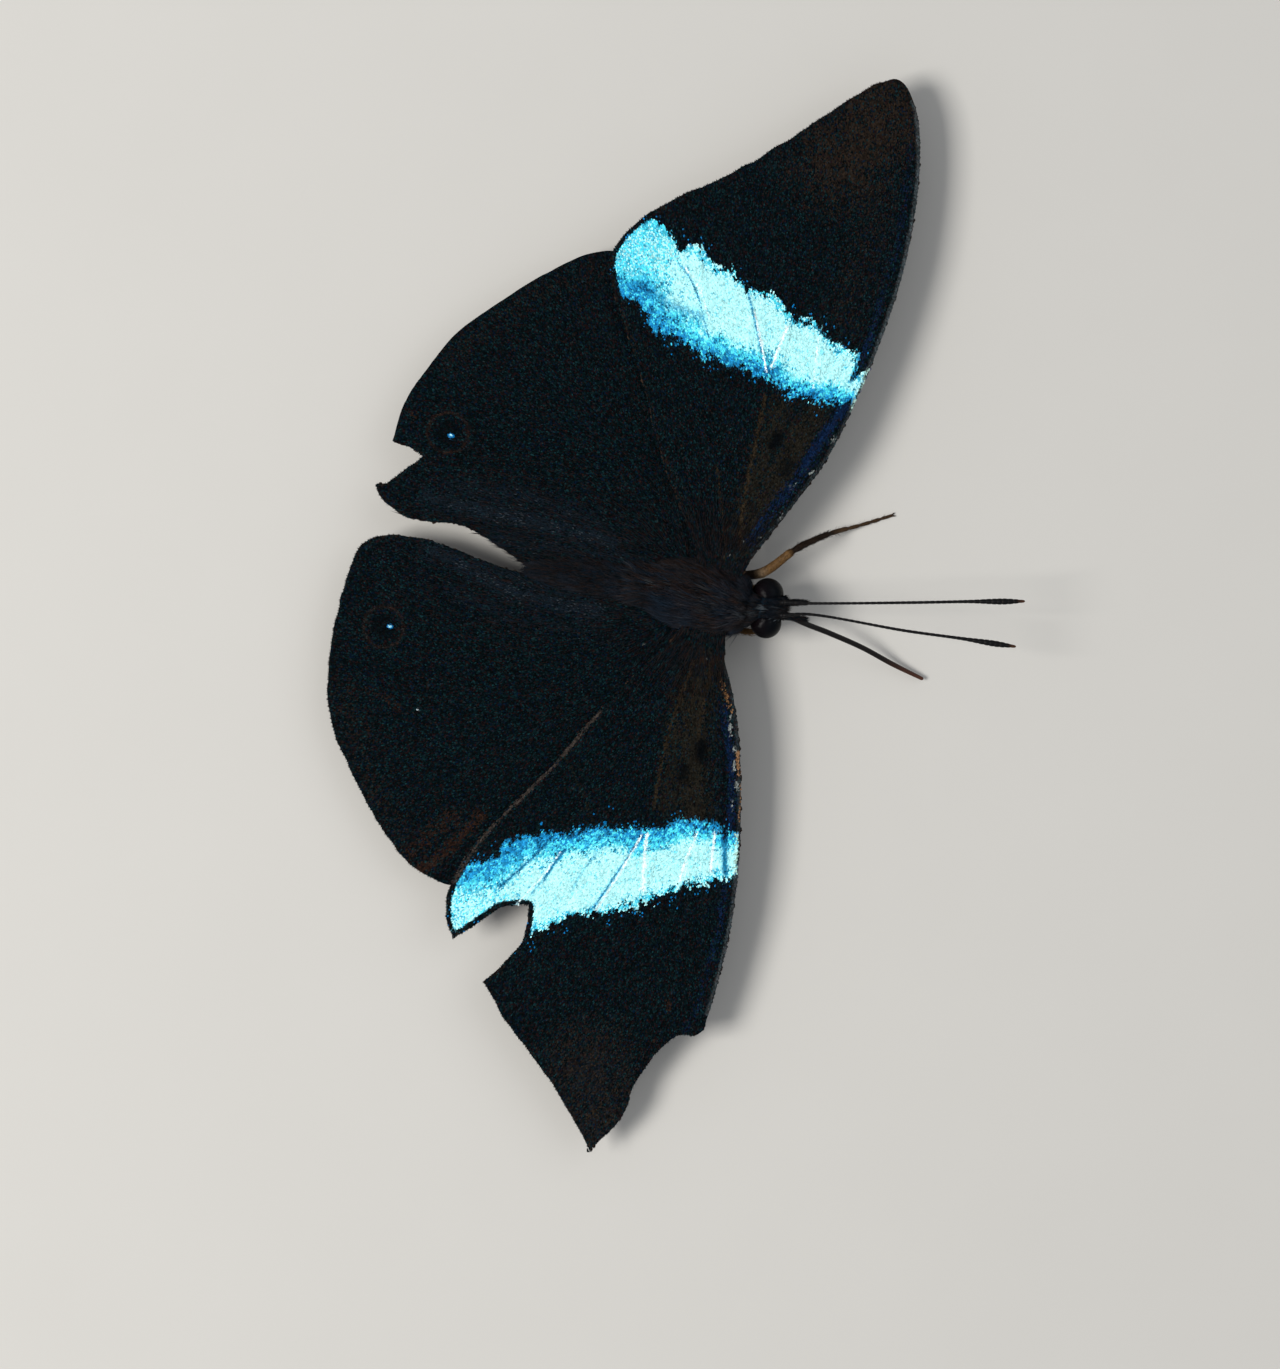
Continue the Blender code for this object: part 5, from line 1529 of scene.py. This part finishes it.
def build_wing_scales(name, face, painter, edges, outward, veins, material, cover):
    """Scales in staggered rows over one face, none where the other wing covers it, and
    on the upper face the fringe too."""
    free, outline, front = edges
    step = SCALE_STEP[face]
    draw = np.random.default_rng(len(name) * 10 + face + SCALE_SEED[wing_side(name)])
    points = staggered_grid(outline, step)
    points = points + draw.normal(0, 0.16 * step, points.shape)
    kept = inside(points, outline)
    if cover is not None and face > 0:
        hidden = inside(points, cover) & (nearest_on(points, cover)[0] > COVER_OVERLAP)
        kept &= ~hidden
    points = points[kept]
    _, _, growth = vein_fields(points, veins)
    size = step / SCALE_STEP[1]
    kept = inside(points + growth * SCALE_LENGTH * size, outline)
    points, growth = points[kept], growth[kept]
    total = len(points)
    length = SCALE_LENGTH * size * draw.uniform(0.85, 1.15, total)
    width = SCALE_WIDTH * size * draw.uniform(0.85, 1.15, total)
    lift = SCALE_LIFT * draw.uniform(0.5, 1.5, total)
    if face > 0:
        fringe = fringe_scales(free, outward, front, veins, draw)
        points, growth, length, width, lift = (
            np.concatenate(pair) for pair in zip((points, growth, length, width, lift), fringe))
    dice = draw.random(len(points))
    masks = painter(points, name, edges, growth, dice)
    label = "above" if face > 0 else "below"
    add_scales(f"{name}_scales_{label}", name, face, points, growth, length, width, lift,
               veins, masks, dice, TILT_SEED + face, material)


def build_wing_hair(name, material):
    """Fine hair over the wing's base and, on a hindwing, along its inner third, thinning
    out by bells of the distance to the body. It lies along the veins and takes the wing's
    ochre and bluish streaks, and in these some hairs of a hindwing are short and broad,
    with a painted pale glint."""
    outline = wing_outline(name)[2]
    veins = wing_veins(name, outline)
    hind = wing_kind(name) == "hindwing"
    draw = np.random.default_rng(len(name) + HAIR_SEED[wing_side(name)])
    low, high = outline.min(0), outline.max(0)
    points = draw.uniform(low, high, (HAIR_TRIES[wing_kind(name)], 2))
    middle = np.array([THORAX_SIDE, 0.0])
    reach = np.linalg.norm(points - middle, axis=1)
    if hind:
        lean = np.abs(points[:, 0] - THORAX_SIDE) / (4.6 + 0.05 * np.abs(points[:, 1]))
        wanted = np.exp(-lean ** 2.4) * soft_step(-27, -16, points[:, 1])
        wanted = 0.42 * np.maximum(wanted, np.exp(-(reach / 6.0) ** 2))
    else:
        wanted = 0.6 * np.exp(-(reach / 6.2) ** 4)
    kept = (draw.random(len(points)) < wanted) & inside(points, outline)
    points, reach = points[kept], reach[kept]
    total = len(points)
    ridge, nearest, growth = vein_fields(points, veins)
    level = wing_level(points, name) + wing_relief(points, nearest) + MEMBRANE_HALF + ridge
    roots = np.column_stack([points, level])
    normals = np.tile([0.0, 0.0, 1.0], (total, 1))
    lie = np.column_stack([growth, np.zeros(total)])
    dice = draw.random(total)
    length = draw.uniform(0.5, 1.3, total)
    width = HAIR_WIDTH * draw.uniform(0.7, 1.3, total)
    blue, ochre = np.zeros(total), np.zeros(total)
    for mask, half, strength, line in STREAKS[name]:
        laid = strength * bell_beside(points, line, 1.3 * half)
        blue = np.maximum(blue, laid * (mask == "hair"))
        ochre = np.maximum(ochre, laid * (mask == "ochre"))
    shining = (draw.random(total) < 0.03 + 0.55 * blue ** 2) & hind
    length = np.where(shining, draw.uniform(0.20, 0.42, total), length)
    width = np.where(shining, draw.uniform(0.035, 0.060, total), width)
    tufts = tuft_rows(roots, normals, lie, length, width,
                      np.radians(draw.uniform(4, 13, total)),
                      np.radians(draw.uniform(5, 11, total)), draw.normal(0, 0.13, total))
    # Pale colour on the short broad hairs: a painted glint
    painted_glint = shining * (0.25 + 0.65 * blue) * draw.uniform(0.4, 1.0, total)
    marks = {"azure": settle(0.8 * blue, dice), "pale": painted_glint, "dice": dice,
             "rust": settle(0.25 * np.exp(-(reach / 5) ** 2) + 0.5 * ochre, dice)}
    add_tufts(f"{name}_hair", tufts, wing_bake_place(points, name), material,
              marks)


# Materials

def put(tree, kind, inputs=None, **settings):
    """Add a node with its settings. Each input is a plain value, or a socket that is
    linked to it."""
    node = tree.nodes.new(kind)
    for key, value in settings.items():
        setattr(node, key, value)
    for key, value in (inputs or {}).items():
        if isinstance(value, bpy.types.NodeSocket):
            tree.links.new(value, node.inputs[key])
        else:
            node.inputs[key].default_value = value
    return node


def mark_value(tree, mark):
    """The number that each vertex carries under a name."""
    return put(tree, "ShaderNodeAttribute", attribute_name=mark).outputs["Fac"]


def blend_colours(tree, factor, below, above, mode="MIX"):
    """One colour laid over another."""
    mix = put(tree, "ShaderNodeMix", data_type="RGBA", blend_type=mode)
    for socket, value in ((mix.inputs[0], factor), (mix.inputs[6], below),
                          (mix.inputs[7], above)):
        if isinstance(value, bpy.types.NodeSocket):
            tree.links.new(value, socket)
        else:
            socket.default_value = value if isinstance(value, float) else (*value, 1)
    return mix.outputs[2]


def maths(tree, operation, first, second=0.0, clamp=False):
    """One sum on numbers or sockets."""
    node = put(tree, "ShaderNodeMath", {0: first, 1: second}, operation=operation,
               use_clamp=clamp)
    return node.outputs[0]


def scaled(tree, value, factor, offset):
    """A number times a factor, plus an offset."""
    return maths(tree, "ADD", maths(tree, "MULTIPLY", value, factor), offset)


def new_draw(tree, factor):
    """A random number from 0 to 1 for each scale or hair, from the one it carries."""
    return maths(tree, "FRACT", maths(tree, "MULTIPLY", mark_value(tree, "dice"), factor))


def mark_range(tree, mark, low, high):
    """A mark as 0 up to one value, 1 from another on, and evenly between them."""
    return put(tree, "ShaderNodeMapRange", {"Value": mark_value(tree, mark), "From Min": low,
                                            "From Max": high}).outputs["Result"]


def brighten(tree, colour, level):
    """A colour times a number."""
    grey = put(tree, "ShaderNodeCombineColor", {0: level, 1: level, 2: level}).outputs[0]
    return blend_colours(tree, 1.0, colour, grey, "MULTIPLY")


def colour_along(tree, stops):
    """Colours at given shares of a limb's length, blended between them."""
    ramp = put(tree, "ShaderNodeValToRGB", {"Fac": mark_value(tree, "share")})
    elements = ramp.color_ramp.elements
    elements[0].position, elements[1].position = stops[0][0], stops[-1][0]
    elements[0].color, elements[1].color = (*stops[0][1], 1), (*stops[-1][1], 1)
    for position, colour in stops[1:-1]:
        elements.new(position).color = (*colour, 1)
    return ramp.outputs["Color"]


def object_noise(tree, scale, detail=3.0):
    """Noise over Object coordinates, from 0 to 1."""
    place = put(tree, "ShaderNodeTexCoord").outputs["Object"]
    return put(tree, "ShaderNodeTexNoise", {"Vector": place, "Scale": scale, "Detail": detail,
                                            "Roughness": 0.6}).outputs["Fac"]


def new_group(name, inputs, outputs):
    """An empty shader group with named inputs and outputs, and its two end nodes."""
    group = bpy.data.node_groups.new(name, "ShaderNodeTree")
    for label, kind, value in inputs:
        socket = group.interface.new_socket(label, in_out="INPUT", socket_type=kind)
        socket.default_value = value
    for label, kind in outputs:
        group.interface.new_socket(label, in_out="OUTPUT", socket_type=kind)
    return group, put(group, "NodeGroupInput"), put(group, "NodeGroupOutput")


def make_pattern_group():
    """The wing's markings: a dark ground with reddish and bluish scales in it, and each
    colour laid over the ones before by its own mark."""
    group, _, end = new_group("wing_markings", (), (("Colour", "NodeSocketColor"),))
    dust, hue = new_draw(group, 53.7), new_draw(group, 17.3)
    colour = blend_colours(group, maths(group, "POWER", dust, 3.0), GROUND_DARK, GROUND_LIGHT)
    colour = blend_colours(group, maths(group, "GREATER_THAN", hue, 0.85), colour, GROUND_WARM)
    colour = blend_colours(group, maths(group, "LESS_THAN", hue, 0.14), colour, GROUND_BLUE)
    for mark, shade in WING_COLOURS:
        colour = blend_colours(group, mark_value(group, mark), colour, shade)
    group.links.new(colour, end.inputs["Colour"])
    return group


def make_scale_group():
    """Rows of tiny scales: cells whose brightness varies, and their domed height."""
    group, start, end = new_group(
        "scale_grain",
        (("Colour", "NodeSocketColor", (0.5, 0.5, 0.5, 1)), ("Size", "NodeSocketFloat", 5000.0),
         ("Contrast", "NodeSocketFloat", 0.5)),
        (("Colour", "NodeSocketColor"), ("Height", "NodeSocketFloat")))
    place = put(group, "ShaderNodeTexCoord").outputs["Object"]
    cells = put(group, "ShaderNodeTexVoronoi", {"Vector": place, "Scale": start.outputs["Size"]})
    bright = put(group, "ShaderNodeSeparateColor", {"Color": cells.outputs["Color"]})
    spread = maths(group, "MULTIPLY", maths(group, "SUBTRACT", bright.outputs[0], 0.5),
                   start.outputs["Contrast"])
    colour = brighten(group, start.outputs["Colour"], maths(group, "ADD", spread, 1.0))
    group.links.new(colour, end.inputs["Colour"])
    group.links.new(maths(group, "SUBTRACT", 1.0, cells.outputs["Distance"]),
                    end.inputs["Height"])
    return group


def new_material(name, roughness, specular, **plain):
    """A material with its Principled shader's own constant values set."""
    material = bpy.data.materials.new(name)
    material.use_nodes = True
    tree = material.node_tree
    shader = tree.nodes["Principled BSDF"]
    shader.inputs["Roughness"].default_value = roughness
    shader.inputs["Specular IOR Level"].default_value = specular
    for label, value in plain.items():
        shader.inputs[label.replace("_", " ")].default_value = value
    return material, tree, shader


def use_group(tree, group, inputs=None):
    """Place a shader group in a material."""
    return put(tree, "ShaderNodeGroup", inputs, node_tree=group)


def finish_shader(tree, shader, colour, height, strength, depth):
    """Give a shader its colour, and bumps of a height map up to a depth in metres."""
    bump = put(tree, "ShaderNodeBump", {"Height": height, "Strength": strength,
                                        "Distance": depth})
    tree.links.new(colour, shader.inputs["Base Color"])
    tree.links.new(bump.outputs["Normal"], shader.inputs["Normal"])


def cover_in_scales(tree, shader, grain, colour, size, contrast, strength, depth):
    """Give a shader its colour broken up into tiny scales, so many to a metre."""
    cells = use_group(tree, grain, {"Colour": colour, "Size": size, "Contrast": contrast})
    finish_shader(tree, shader, cells.outputs["Colour"], cells.outputs["Height"], strength,
                  depth)


def membrane_material(pattern, grain):
    """Wing membrane: the markings, under a close cover of tiny scales."""
    material, tree, shader = new_material("wing_membrane", 0.8, 0.03)
    markings = use_group(tree, pattern).outputs["Colour"]
    cover_in_scales(tree, shader, grain, markings, 7000.0, 1.0, 0.35, 0.00004)
    return material


def scale_material(pattern):
    """Single scales: the markings, lighter or darker from scale to scale, less so in the
    deep blue, and paler towards the tip."""
    material, tree, shader = new_material("wing_scale_cover", 0.7, 0.03)
    markings = use_group(tree, pattern).outputs["Colour"]
    level = scaled(tree, mark_value(tree, "dice"), 0.56, 0.74)
    tip = scaled(tree, mark_value(tree, "along"), 0.25, 0.88)
    swing = maths(tree, "MULTIPLY", maths(tree, "SUBTRACT", new_draw(tree, 29.3), 0.5),
                  maths(tree, "SUBTRACT", 1.2, mark_value(tree, "deep")))
    shade = maths(tree, "MULTIPLY", maths(tree, "MULTIPLY", level, tip),
                  maths(tree, "ADD", swing, 1.0))
    finish_shader(tree, shader, brighten(tree, markings, shade),
                  object_noise(tree, 30000.0, 1.0), 0.2, 0.00001)
    return material


FUR_DARK = (0.0005, 0.0020, 0.0027)
FUR_LIGHT = (0.0320, 0.0290, 0.0310)
FUR_WARM = (0.0300, 0.0125, 0.0090)
FUR_BLUE = (0.0030, 0.0125, 0.0220)
SKIN_DARK = (0.0018, 0.0026, 0.0034)
SKIN_LIGHT = (0.0080, 0.0076, 0.0074)
# Colours of the body's marks, in the order in which they are laid over one another
BODY_COLOURS = (
    ("rust", (0.030, 0.0150, 0.0100)),
    ("azure", (0.010, 0.020, 0.034)),
    ("pale", (0.085, 0.100, 0.110)),
)


def fur_colour(tree, dark, light):
    """Hair colour: between a dark and a light tone by the hair, and darker towards the root
    as painted shade deep in the coat. Some hairs are reddish and some bluish, and the rusty, bluish
    and pale marks are laid over."""
    # The share along each hair darkens its root: painted shade deep in the coat
    tone = maths(tree, "ADD", maths(tree, "MULTIPLY", mark_value(tree, "dice"), 0.6),
                 maths(tree, "MULTIPLY", mark_value(tree, "along"), 0.4))
    colour = blend_colours(tree, maths(tree, "POWER", tone, 2.2), dark, light)
    hue = new_draw(tree, 17.3)
    warm = maths(tree, "MULTIPLY", maths(tree, "GREATER_THAN", hue, 0.82), 0.7)
    cool = maths(tree, "MULTIPLY", maths(tree, "LESS_THAN", hue, 0.22), 0.7)
    colour = blend_colours(tree, warm, colour, FUR_WARM)
    colour = blend_colours(tree, cool, colour, FUR_BLUE)
    for mark, shade in BODY_COLOURS:
        colour = blend_colours(tree, mark_value(tree, mark), colour, shade)
    return colour


def fur_material():
    """Dark hair with a faint gloss."""
    material, tree, shader = new_material("body_hair", 0.55, 0.06)
    finish_shader(tree, shader, fur_colour(tree, FUR_DARK, FUR_LIGHT),
                  object_noise(tree, 14000.0, 2.0), 0.25, 0.00001)
    return material


def skin_material(grain):
    """Dark skin under the hair, covered in fine lying scales."""
    material, tree, shader = new_material("body_skin", 0.7, 0.06)
    colour = fur_colour(tree, SKIN_DARK, SKIN_LIGHT)
    cover_in_scales(tree, shader, grain, colour, 9000.0, 1.1, 0.6, 0.00005)
    return material


EYE_SIDES_COLOUR = (0.0018, 0.0018, 0.0026)
# Painted reflections on the top of each eye, reddish at the rear and bluish in front
EYE_PAINTED_REFLECTION_REAR = (0.0060, 0.0022, 0.0034)
EYE_PAINTED_REFLECTION_FRONT = (0.0010, 0.0042, 0.0068)
EYE_BLOTCH = (0.0014, 0.0014, 0.0018)
EYE_SEAM = (0.002, 0.002, 0.002)


def eye_material():
    """Glossy facets: blackish lenses with duller seams. A painted reflection lies on the
    top: reddish towards the rear and bluish in front."""
    material, tree, shader = new_material("eye_facets", 0.3, 0.04, Coat_Weight=0.04,
                                          Coat_Roughness=0.05)
    crown = blend_colours(tree, mark_value(tree, "front"), EYE_PAINTED_REFLECTION_REAR, EYE_PAINTED_REFLECTION_FRONT)
    colour = blend_colours(tree, mark_range(tree, "rise", 0.55, 0.98), EYE_SIDES_COLOUR, crown)
    blotch = maths(tree, "MULTIPLY", object_noise(tree, 1800.0, 2.0), 0.8)
    colour = blend_colours(tree, blotch, colour, EYE_BLOTCH)
    seam = maths(tree, "GREATER_THAN", mark_value(tree, "facet"), 0.86)
    colour = blend_colours(tree, maths(tree, "MULTIPLY", seam, 0.8), colour, EYE_SEAM)
    tree.links.new(colour, shader.inputs["Base Color"])
    tree.links.new(scaled(tree, seam, 0.3, 0.14), shader.inputs["Roughness"])
    return material


ANTENNA_DARK = (0.0035, 0.0035, 0.0040)
ANTENNA_JOINT = (0.024, 0.019, 0.016)
ANTENNA_TIP = (0.060, 0.024, 0.011)


def antenna_material(grain):
    """Black rings, a little paler where two meet, with a rusty tip to the club."""
    material, tree, shader = new_material("antenna_rings", 0.45, 0.12)
    joint = maths(tree, "LESS_THAN", mark_value(tree, "ring"), 0.16)
    colour = blend_colours(tree, maths(tree, "MULTIPLY", joint, 0.55), ANTENNA_DARK,
                           ANTENNA_JOINT)
    colour = blend_colours(tree, mark_range(tree, "share", 0.965, 0.995), colour, ANTENNA_TIP)
    cover_in_scales(tree, shader, grain, colour, 14000.0, 0.9, 0.5, 0.00002)
    return material


PROBOSCIS_STOPS = ((0.0, (0.0045, 0.0040, 0.0040)), (0.72, (0.008, 0.006, 0.005)),
                   (1.0, (0.085, 0.028, 0.014)))
PROBOSCIS_BLOTCH = (0.004, 0.003, 0.003)


def proboscis_material():
    """Dark tube that turns reddish brown towards its tip."""
    material, tree, shader = new_material("proboscis_skin", 0.36, 0.2)
    blotch = maths(tree, "MULTIPLY", object_noise(tree, 2600.0, 3.0), 0.5)
    colour = blend_colours(tree, blotch, colour_along(tree, PROBOSCIS_STOPS), PROBOSCIS_BLOTCH)
    finish_shader(tree, shader, colour, object_noise(tree, 9000.0, 2.0), 0.4, 0.00002)
    return material


# Along a leg: dark hip, painted as the shade under the thorax, ochre thigh, dark knee and shin,
# ochre foot
LEG_STOPS = ((0.0, (0.02, 0.014, 0.010)), (0.215, (0.016, 0.010, 0.007)),
             (0.25, (0.24, 0.16, 0.09)), (0.29, (0.130, 0.068, 0.024)),
             (0.40, (0.130, 0.068, 0.024)), (0.43, (0.006, 0.003, 0.002)),
             (0.52, (0.017, 0.008, 0.004)), (0.66, (0.012, 0.006, 0.003)),
             (0.72, (0.055, 0.029, 0.013)), (1.0, (0.038, 0.020, 0.009)))
LEG_BLOTCH = (0.030, 0.018, 0.010)
SPINE_COLOUR = (0.022, 0.012, 0.008)


def leg_material(grain):
    """Leg shell under flat scales."""
    material, tree, shader = new_material("leg_skin", 0.55, 0.1)
    blotch = maths(tree, "MULTIPLY", object_noise(tree, 3000.0, 3.0), 0.45)
    colour = blend_colours(tree, blotch, colour_along(tree, LEG_STOPS), LEG_BLOTCH)
    cover_in_scales(tree, shader, grain, colour, 9000.0, 0.8, 0.5, 0.00003)
    return material


def leg_scale_material():
    """Scales in the leg's own colours, and dark spines."""
    material, tree, shader = new_material("leg_scales", 0.6, 0.08)
    level = scaled(tree, mark_value(tree, "dice"), 0.9, 0.55)
    colour = brighten(tree, colour_along(tree, LEG_STOPS), level)
    colour = blend_colours(tree, mark_value(tree, "spine"), colour, SPINE_COLOUR)
    tree.links.new(colour, shader.inputs["Base Color"])
    return material


# Scene

FLOOR_HALF = 1.5
FLOOR_PALE = (0.63, 0.61, 0.57)
FLOOR_DARK = (0.59, 0.57, 0.53)
# Lights: name, direction from the butterfly, distance and size in metres, power, colour
LIGHTS = (
    ("key", (-0.35, 0.85, 1.25), 0.62, 0.22, 3.2, (1.0, 0.985, 0.96)),
    ("fill", (0.6, -0.7, 1.1), 0.7, 0.5, 0.6, (0.93, 0.96, 1.0)),
)
SURROUNDINGS = (0.80, 0.84, 0.90, 1)
SURROUNDINGS_STRENGTH = 0.42


def build_floor():
    """A plain pale floor."""
    mesh = bpy.data.meshes.new("floor")
    corners = [(x * FLOOR_HALF, y * FLOOR_HALF, 0) for x, y in ((-1, -1), (1, -1), (1, 1), (-1, 1))]
    mesh.from_pydata(corners, [], [(0, 1, 2, 3)])
    material, tree, shader = new_material("floor_paper", 0.85, 0.2)
    grain = maths(tree, "MULTIPLY", object_noise(tree, 60.0), 0.5)
    tree.links.new(blend_colours(tree, grain, FLOOR_PALE, FLOOR_DARK),
                   shader.inputs["Base Color"])
    mesh.materials.append(material)
    floor = bpy.data.objects.new("floor", mesh)
    bpy.context.scene.collection.objects.link(floor)


def add_light(name, towards, distance, size, power, colour):
    """A square soft light, seen from the butterfly in one direction, that faces it."""
    data = bpy.data.lights.new(name, "AREA")
    data.shape = "SQUARE"
    data.size = size
    data.energy = power
    data.color = colour
    light = bpy.data.objects.new(name, data)
    direction = Vector(towards).normalized()
    light.location = direction * distance
    light.rotation_euler = direction.to_track_quat("Z", "Y").to_euler()
    bpy.context.scene.collection.objects.link(light)


def build_studio():
    """A soft key from the photo's left, a weak fill opposite and pale surroundings,
    shown with the plain view, in which a strong blue stays strong."""
    bpy.context.scene.view_settings.view_transform = "Standard"
    for light in LIGHTS:
        add_light(*light)
    world = bpy.data.worlds.new("studio")
    world.use_nodes = True
    background = world.node_tree.nodes["Background"]
    background.inputs["Color"].default_value = SURROUNDINGS
    background.inputs["Strength"].default_value = SURROUNDINGS_STRENGTH
    bpy.context.scene.world = world


def build_camera():
    """A camera that looks straight down, turned as the photo is."""
    data = bpy.data.cameras.new("camera")
    data.lens = LENS
    data.sensor_width = SENSOR
    camera = bpy.data.objects.new("camera", data)
    centre = to_scene([(*VIEW_CENTRE, VIEW_LEVEL)])[0]
    distance = VIEW_SPAN * MM * LENS / SENSOR
    right = (math.sin(VIEW_TURN), -math.cos(VIEW_TURN), 0)
    upward = (math.cos(VIEW_TURN), math.sin(VIEW_TURN), 0)
    turn = Matrix((right, upward, (0, 0, 1))).transposed().to_4x4()
    camera.matrix_world = Matrix.Translation((centre[0], centre[1], centre[2] + distance)) @ turn
    bpy.context.scene.collection.objects.link(camera)
    bpy.context.scene.camera = camera


def main():
    """Build the whole butterfly, its floor, its lights and the camera."""
    pattern, grain = make_pattern_group(), make_scale_group()
    membrane_skin, scales = membrane_material(pattern, grain), scale_material(pattern)
    fur, skin = fur_material(), skin_material(grain)
    build_skin(skin)
    build_body_fur(fur)
    build_eyes(eye_material())
    build_antennae(antenna_material(grain))
    build_proboscis(proboscis_material())
    build_palps(skin, fur)
    build_legs(leg_material(grain), leg_scale_material())
    for side in ("left", "right"):
        build_wing(f"forewing_{side}", membrane_skin, scales)
        cover = wing_outline(f"forewing_{side}")[2]
        build_wing(f"hindwing_{side}", membrane_skin, scales, cover)
    for name in EDGES:
        build_wing_hair(name, fur)
    build_floor()
    build_studio()
    build_camera()


main()
